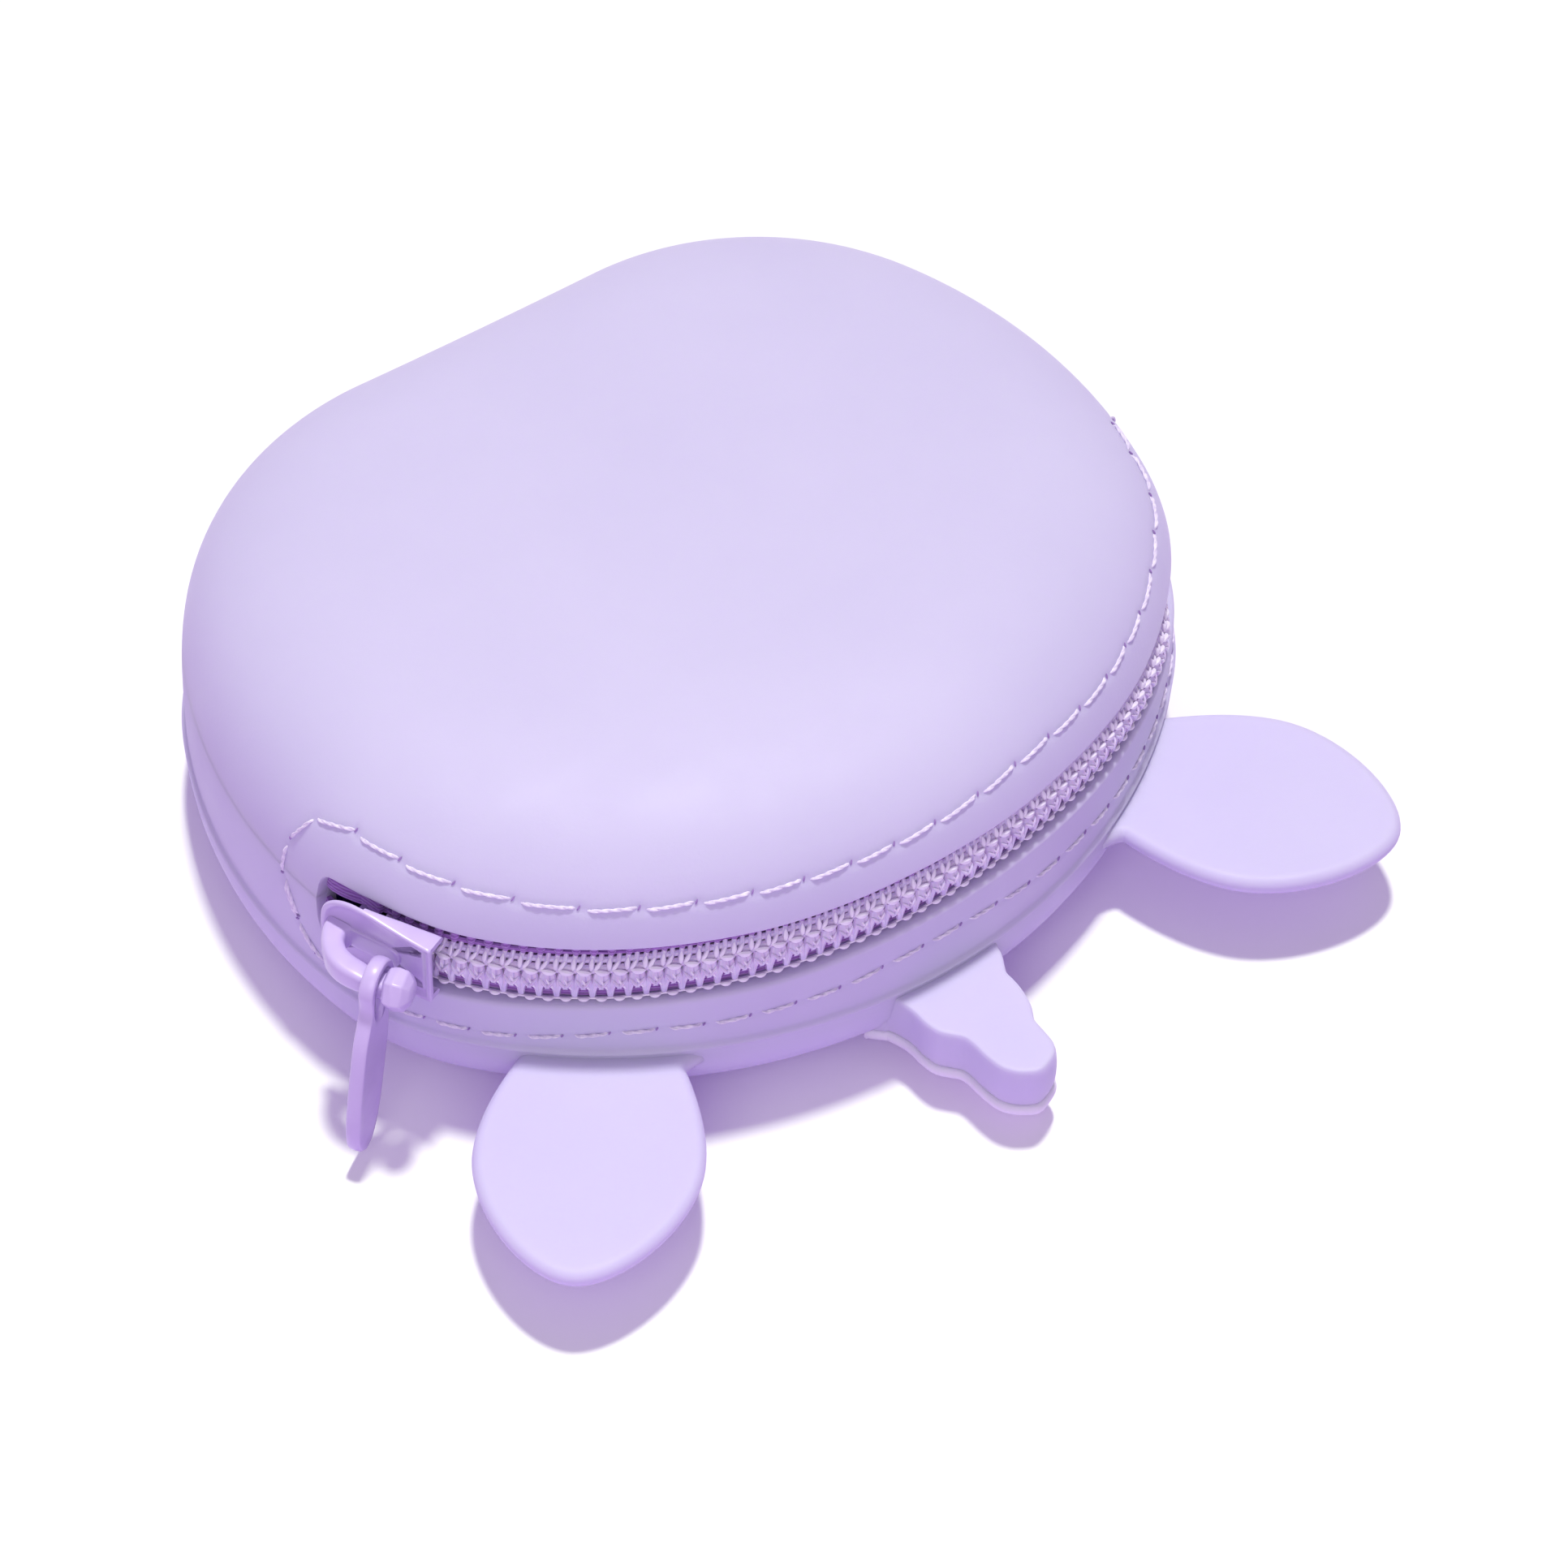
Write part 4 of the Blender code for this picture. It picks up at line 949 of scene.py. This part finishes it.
def make_ears():
    """Two soft plates, mirrored, that grow out of the ridge."""
    angle = math.radians(EAR_TURN)
    direction = np.array([math.sin(angle), -math.cos(angle)])
    across = np.array([-direction[1], direction[0]])
    x, y, _, _ = outline(EAR_AT)
    root = np.array([float(x), float(y)])
    points = ear_outline()
    for name, side in (("ear_left", -1.0), ("ear_right", 1.0)):
        def place(ring, z):
            plan = root + np.outer(ring[:, 0], direction) + np.outer(ring[:, 1], across)
            return np.stack([plan[:, 0] * side, plan[:, 1], np.full(len(ring), z)], axis=1)

        rows = plate_rows(points, EAR_LOW, PLATE_TOP, 0.9, place)
        ear = new_object("soft_" + name, *loft(rows, flat=True), LILAC, 60.0)
        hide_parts(name)
        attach(ear, "purse")


def horn_outline(stand):
    """The horn in plan, (out from the body, across), grown by stand."""
    length, half = HORN_LONG, HORN_HALF
    fillet = ((-1.6, 1.7), (-0.9, 1.0), (-0.3, 0.35))
    right = [(a, half + b) for a, b in fillet]
    right += [(length * u, half * v + stand) for u, v in HORN_RIGHT]
    left = [(a, -half - b) for a, b in fillet]
    left += [(length * u, -half * v - stand) for u, v in HORN_LEFT]
    tip = [(length + stand, half * 0.08)]
    return smooth_path(right + tip + left[::-1], 5)


def make_horn():
    """The lilac block and, a hair under it, the white front layer."""
    def place(ring, z):
        return np.stack([HORN_X + ring[:, 1], FRONT_Y - ring[:, 0], np.full(len(ring), z)], axis=1)

    block = plate_rows(horn_outline(0.0), 4.1, PLATE_TOP, 0.35, place)
    block = new_object("soft_horn_block", *loft(block, flat=True), LILAC, 60.0)
    front = plate_rows(horn_outline(0.12), 2.95, 4.05, 0.3, place)
    front = new_object("soft_horn_front", *loft(front, flat=True), WHITE, 60.0)
    for piece, node in ((block, "horn_block"), (front, "horn_front")):
        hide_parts(node)
        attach(piece, "purse")


# Slider and pull tab.


def arc_frame(angle):
    """Outward and along at an angle of the zip's arc."""
    return (np.array([math.sin(angle), -math.cos(angle), 0.0]),
            np.array([math.cos(angle), math.sin(angle), 0.0]))


def on_slider(a, b, h):
    """Along the slider from its middle, up across it, and out from its plate's face."""
    a, b, h = np.broadcast_arrays(*(np.asarray(v, float) for v in (a, b, h)))
    out, along = arc_frame(math.radians(-PARK))
    middle = ZIP_CENTRE + out * SLIDER_R
    far = a * math.cos(YAW) - h * math.sin(YAW)
    high = a * math.sin(YAW) + h * math.cos(YAW)
    return middle + far[..., None] * along + high[..., None] * out + b[..., None] * UP


def slider_rings(points, steps):
    """Rings of a plate from its outline: (inset, height over the plate's face) steps."""
    rows = []
    for inset, h in steps:
        ring = shrink(points, inset)
        rows.append(on_slider(ring[:, 0], ring[:, 1], h))
    return rows


def pad_outline(first, last, half, corner):
    """A clockwise rounded rectangle along the slider."""
    ring = []
    for turn in np.radians(np.linspace(180.0, -180.0, 32, endpoint=False)):
        c, v = squared(turn, corner)
        ring.append(((first + last) / 2.0 + c * (last - first) / 2.0, v * half))
    return np.array(ring)


def flange_rows(way):
    """The plate's turned-down edge, deeper towards the rear; way is +1 for the upper one."""
    rows = []
    for a in np.linspace(-1.4, 5.4, 12):
        wide = float(knots(a, PLATE_SIDE))
        rear = 2.2 if way > 0 else 1.4
        deep = float(knots(a, ((-1.4, 0.7), (0.0, 0.95), (2.0, 1.5), (5.4, rear))))
        square = ((wide, -0.3), (wide + 0.02, -deep + 0.3), (wide - 0.06, -deep + 0.1),
                  (wide - 0.2, -deep), (wide - 0.4, -deep), (wide - 0.54, -deep + 0.1),
                  (wide - 0.6, -deep + 0.3), (wide - 0.6, -0.3))
        rows.append(np.array([on_slider(a, way * w, h) for w, h in square]))
    return rows


def make_slider():
    """Plate, pad, under plate, flanges and post as one piece; the crown and its knob on it."""
    side = smooth_path(PLATE_SIDE, 4)
    below = np.stack([side[:, 0], -np.minimum(side[:, 1], PLATE_LOW_SIDE)], axis=1)
    parts = Parts()
    parts.add(slider_rings(np.vstack([side, PLATE_REAR, below[::-1][:-1]]), PLATE_STEPS))
    parts.add(slider_rings(pad_outline(-4.9, 2.2, 1.15, 0.45), PAD_STEPS))
    parts.add(slider_rings(pad_outline(-3.6, 3.4, 2.6, 0.5), UNDER_STEPS))
    for way in (-1.0, 1.0):
        parts.add(flange_rows(way))
    parts.add(slider_rings(pad_outline(-3.9, -2.4, 0.45, 0.7), POST_STEPS))
    body = new_object("painted_slider", parts.verts, parts.faces, METAL, 50.0)
    strap = loft(crown_rings(smooth_path(CROWN, 3), 0.45, 24))
    strap = new_object("painted_crown", *strap, METAL, 60.0)
    end = new_object("painted_knob", *loft(crown_rings(np.array(KNOB), 1.0, 6)), METAL, 24.0)
    soften = end.modifiers.new("soften", "BEVEL")
    soften.width = 0.12 * MM
    soften.segments = 3
    soften.limit_method = "ANGLE"
    soften.angle_limit = math.radians(15.0)
    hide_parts("slider_body")
    for piece in (body, strap, end):
        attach(piece, "slider")


def crown_rings(path, power, sides):
    """Rings across the crown's path, squarer with a smaller power."""
    rows = []
    for (a, h, wide, high), (ha, hh) in zip(path, unit(np.gradient(path[:, :2], axis=0))):
        ring = []
        for turn in (np.arange(sides) + 0.5) * 2.0 * math.pi / sides:
            c, v = squared(turn, power)
            ring.append(on_slider(a - hh * high / 2.0 * v, wide / 2.0 * c, h + ha * high / 2.0 * v))
        rows.append(np.array(ring))
    return rows


def tab_outline():
    """The tab seen flat, its eye about the hinge and its blade below."""
    turns = np.radians(np.linspace(205.0, -25.0, 25))
    eye = np.stack([TAB_EYE * np.cos(turns), TAB_EYE * np.sin(turns)], axis=1)
    right = [(TAB_EYE * math.cos(turns[-1]), -1.0)]
    right += [(TAB_HALF * x, -TAB_LONG * y) for x, y in TAB_SIDE] + [(0.0, -TAB_LONG)]
    right = smooth_path(right, 4)[2:]
    left = right[::-1][1:] * np.array([-1.0, 1.0])
    return np.vstack([eye, right, left])


def make_tab():
    """The pull tab: a flat blade with a rounded rim and an eye on the crown."""
    out, along = arc_frame(HINGE_RUN / ZIP_R - math.radians(PARK))
    hinge = ZIP_CENTRE + out * HINGE_R
    lean = math.radians(TAB_LEAN)
    tab_up = UP * math.cos(lean) - out * math.sin(lean)
    tab_out = out * math.cos(lean) + UP * math.sin(lean)

    def place(ring, t):
        return hinge + np.outer(ring[:, 0], tab_out) + np.outer(ring[:, 1], tab_up) + along * t

    outer = tab_outline()
    # The eye's hole, point for point with the outline; its lower half runs down the blade.
    turns = np.unwrap(np.arctan2(outer[:, 1], outer[:, 0]))
    even = np.linspace(turns[0], turns[0] - 2.0 * math.pi, len(outer), endpoint=False)
    turns = turns * 0.75 + even * 0.25
    hole = np.stack([np.cos(turns) * EYE_HALF, np.sin(turns) * EYE_UP], axis=1)
    hole[:, 1] = np.where(hole[:, 1] < 0.0, hole[:, 1] * EYE_DOWN, hole[:, 1])
    half = TAB_THICK / 2.0
    rows = []
    for turn in np.radians(np.linspace(-90.0, 90.0, 9)):
        rows.append(place(shrink(outer, TAB_EDGE * (1.0 - math.cos(turn))), half * math.sin(turn)))
    inner_edge = shrink(outer, TAB_EDGE)
    for share, t in ((0.10, half), (0.90, half)):
        rows.append(place(inner_edge + (hole - inner_edge) * share, t))
    for turn in np.radians(np.linspace(90.0, -90.0, 7)):
        ring = hole * (1.0 + EYE_FLARE * (1.0 - math.cos(turn)))
        rows.append(place(ring, half * math.sin(turn)))
    for share, t in ((0.90, -half), (0.10, -half)):
        rows.append(place(inner_edge + (hole - inner_edge) * share, t))
    rows.append(rows[0])
    verts, faces = loft(rows, caps=False)
    blade = new_object("painted_pull_tab", verts, faces, METAL, 50.0)
    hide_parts("pull_tab")
    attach(blade, "tab")


# Floor, light and camera.


def seen_directly(tree):
    """1 for rays from the camera, and for the mirrored and passed ones the camera sees by."""
    ray = add_node(tree, "LightPath")
    value = ray.outputs["Is Camera Ray"]
    for name in ("Is Glossy Ray", "Is Transmission Ray"):
        more = add_node(tree, "Math")
        more.operation = "MAXIMUM"
        tree.links.new(value, more.inputs[0])
        tree.links.new(ray.outputs[name], more.inputs[1])
        value = more.outputs[0]
    return value


def pick_seen(tree, unseen, seen, surface):
    """One shader for what lights the object and another for what is seen directly."""
    mix = add_node(tree, "MixShader")
    tree.links.new(seen_directly(tree), mix.inputs["Fac"])
    tree.links.new(unseen.outputs[0], mix.inputs[1])
    tree.links.new(seen.outputs[0], mix.inputs[2])
    tree.links.new(mix.outputs[0], surface.inputs["Surface"])


def make_floor():
    """A pale floor that looks white where it is lit and keeps the object's shadow."""
    bpy.ops.mesh.primitive_plane_add(size=6.0, location=(0.0, 0.0, -0.0001))
    floor = bpy.context.object
    floor.name = "floor"
    mat = bpy.data.materials.new("floor")
    mat.use_nodes = True
    tree = mat.node_tree
    tree.nodes.clear()
    seen = add_node(tree, "BsdfDiffuse", Color=FLOOR_SEEN)
    glow = add_node(tree, "Emission", Color=FLOOR_GLOW, Strength=1.0)
    both = add_node(tree, "AddShader")
    tree.links.new(seen.outputs[0], both.inputs[0])
    tree.links.new(glow.outputs[0], both.inputs[1])
    bounce = add_node(tree, "BsdfDiffuse", Color=FLOOR_BOUNCE)
    pick_seen(tree, bounce, both, add_node(tree, "OutputMaterial"))
    floor.data.materials.append(mat)


def make_world():
    """A pale lilac sky for the object, and white behind it for the camera."""
    world = bpy.data.worlds.new("studio")
    bpy.context.scene.world = world
    world.use_nodes = True
    tree = world.node_tree
    tree.nodes.clear()
    sky = add_node(tree, "Background", Color=SKY, Strength=SKY_STRENGTH)
    white = add_node(tree, "Background", Color=WHITE_SEEN, Strength=1.0)
    pick_seen(tree, sky, white, add_node(tree, "OutputWorld"))


def add_lamp(name, kind, energy, toward):
    """A lamp that shines in a direction."""
    lamp = bpy.data.lights.new(name, kind)
    lamp.energy = energy
    item = bpy.data.objects.new(name, lamp)
    bpy.context.scene.collection.objects.link(item)
    item.rotation_euler = Vector(toward).to_track_quat("-Z", "Y").to_euler()
    return item


def make_lights():
    """A small lamp almost overhead and a wide soft one close by at the front left."""
    key = add_lamp("key", "SUN", SUN_STRENGTH, SUN_TOWARD)
    key.data.angle = SUN_SPREAD
    fill = add_lamp("fill", "AREA", FILL_POWER, FILL_TOWARD)
    fill.data.shape = "DISK"
    fill.data.size = FILL_SIZE
    fill.data.color = FILL_COLOUR
    fill.location = FILL_PLACE


def make_camera():
    """The photo's camera: a long lens looking down at the front left."""
    a, e, r = (math.radians(v) for v in (AZIMUTH, ELEVATION, ROLL))
    back = Vector((math.sin(a) * math.cos(e), -math.cos(a) * math.cos(e), math.sin(e)))
    right = Vector((math.cos(a), math.sin(a), 0.0))
    up = back.cross(right)
    x = right * math.cos(r) + up * math.sin(r)
    y = up * math.cos(r) - right * math.sin(r)
    place = x * -OFFSET_X + y * -OFFSET_Y + back * DISTANCE + Vector((0.0, 0.0, RIDGE_Z))
    lens = bpy.data.cameras.new("camera")
    lens.sensor_fit = "HORIZONTAL"
    lens.sensor_width = SENSOR
    lens.lens = SENSOR * FOCAL_SHARE
    lens.clip_start = 0.01
    lens.clip_end = 20.0
    item = bpy.data.objects.new("camera", lens)
    bpy.context.scene.collection.objects.link(item)
    matrix = item.matrix_world.copy()
    for row in range(3):
        matrix[row][:] = (x[row], y[row], back[row], place[row] * MM)
    item.matrix_world = matrix
    bpy.context.scene.camera = item


make_camera()
make_skin()
make_seam()
make_tapes()
make_coils()
make_ears()
make_horn()
make_slider()
make_tab()
make_stops()
make_floor()
make_world()
make_lights()
bpy.context.scene.view_settings.view_transform = "Standard"
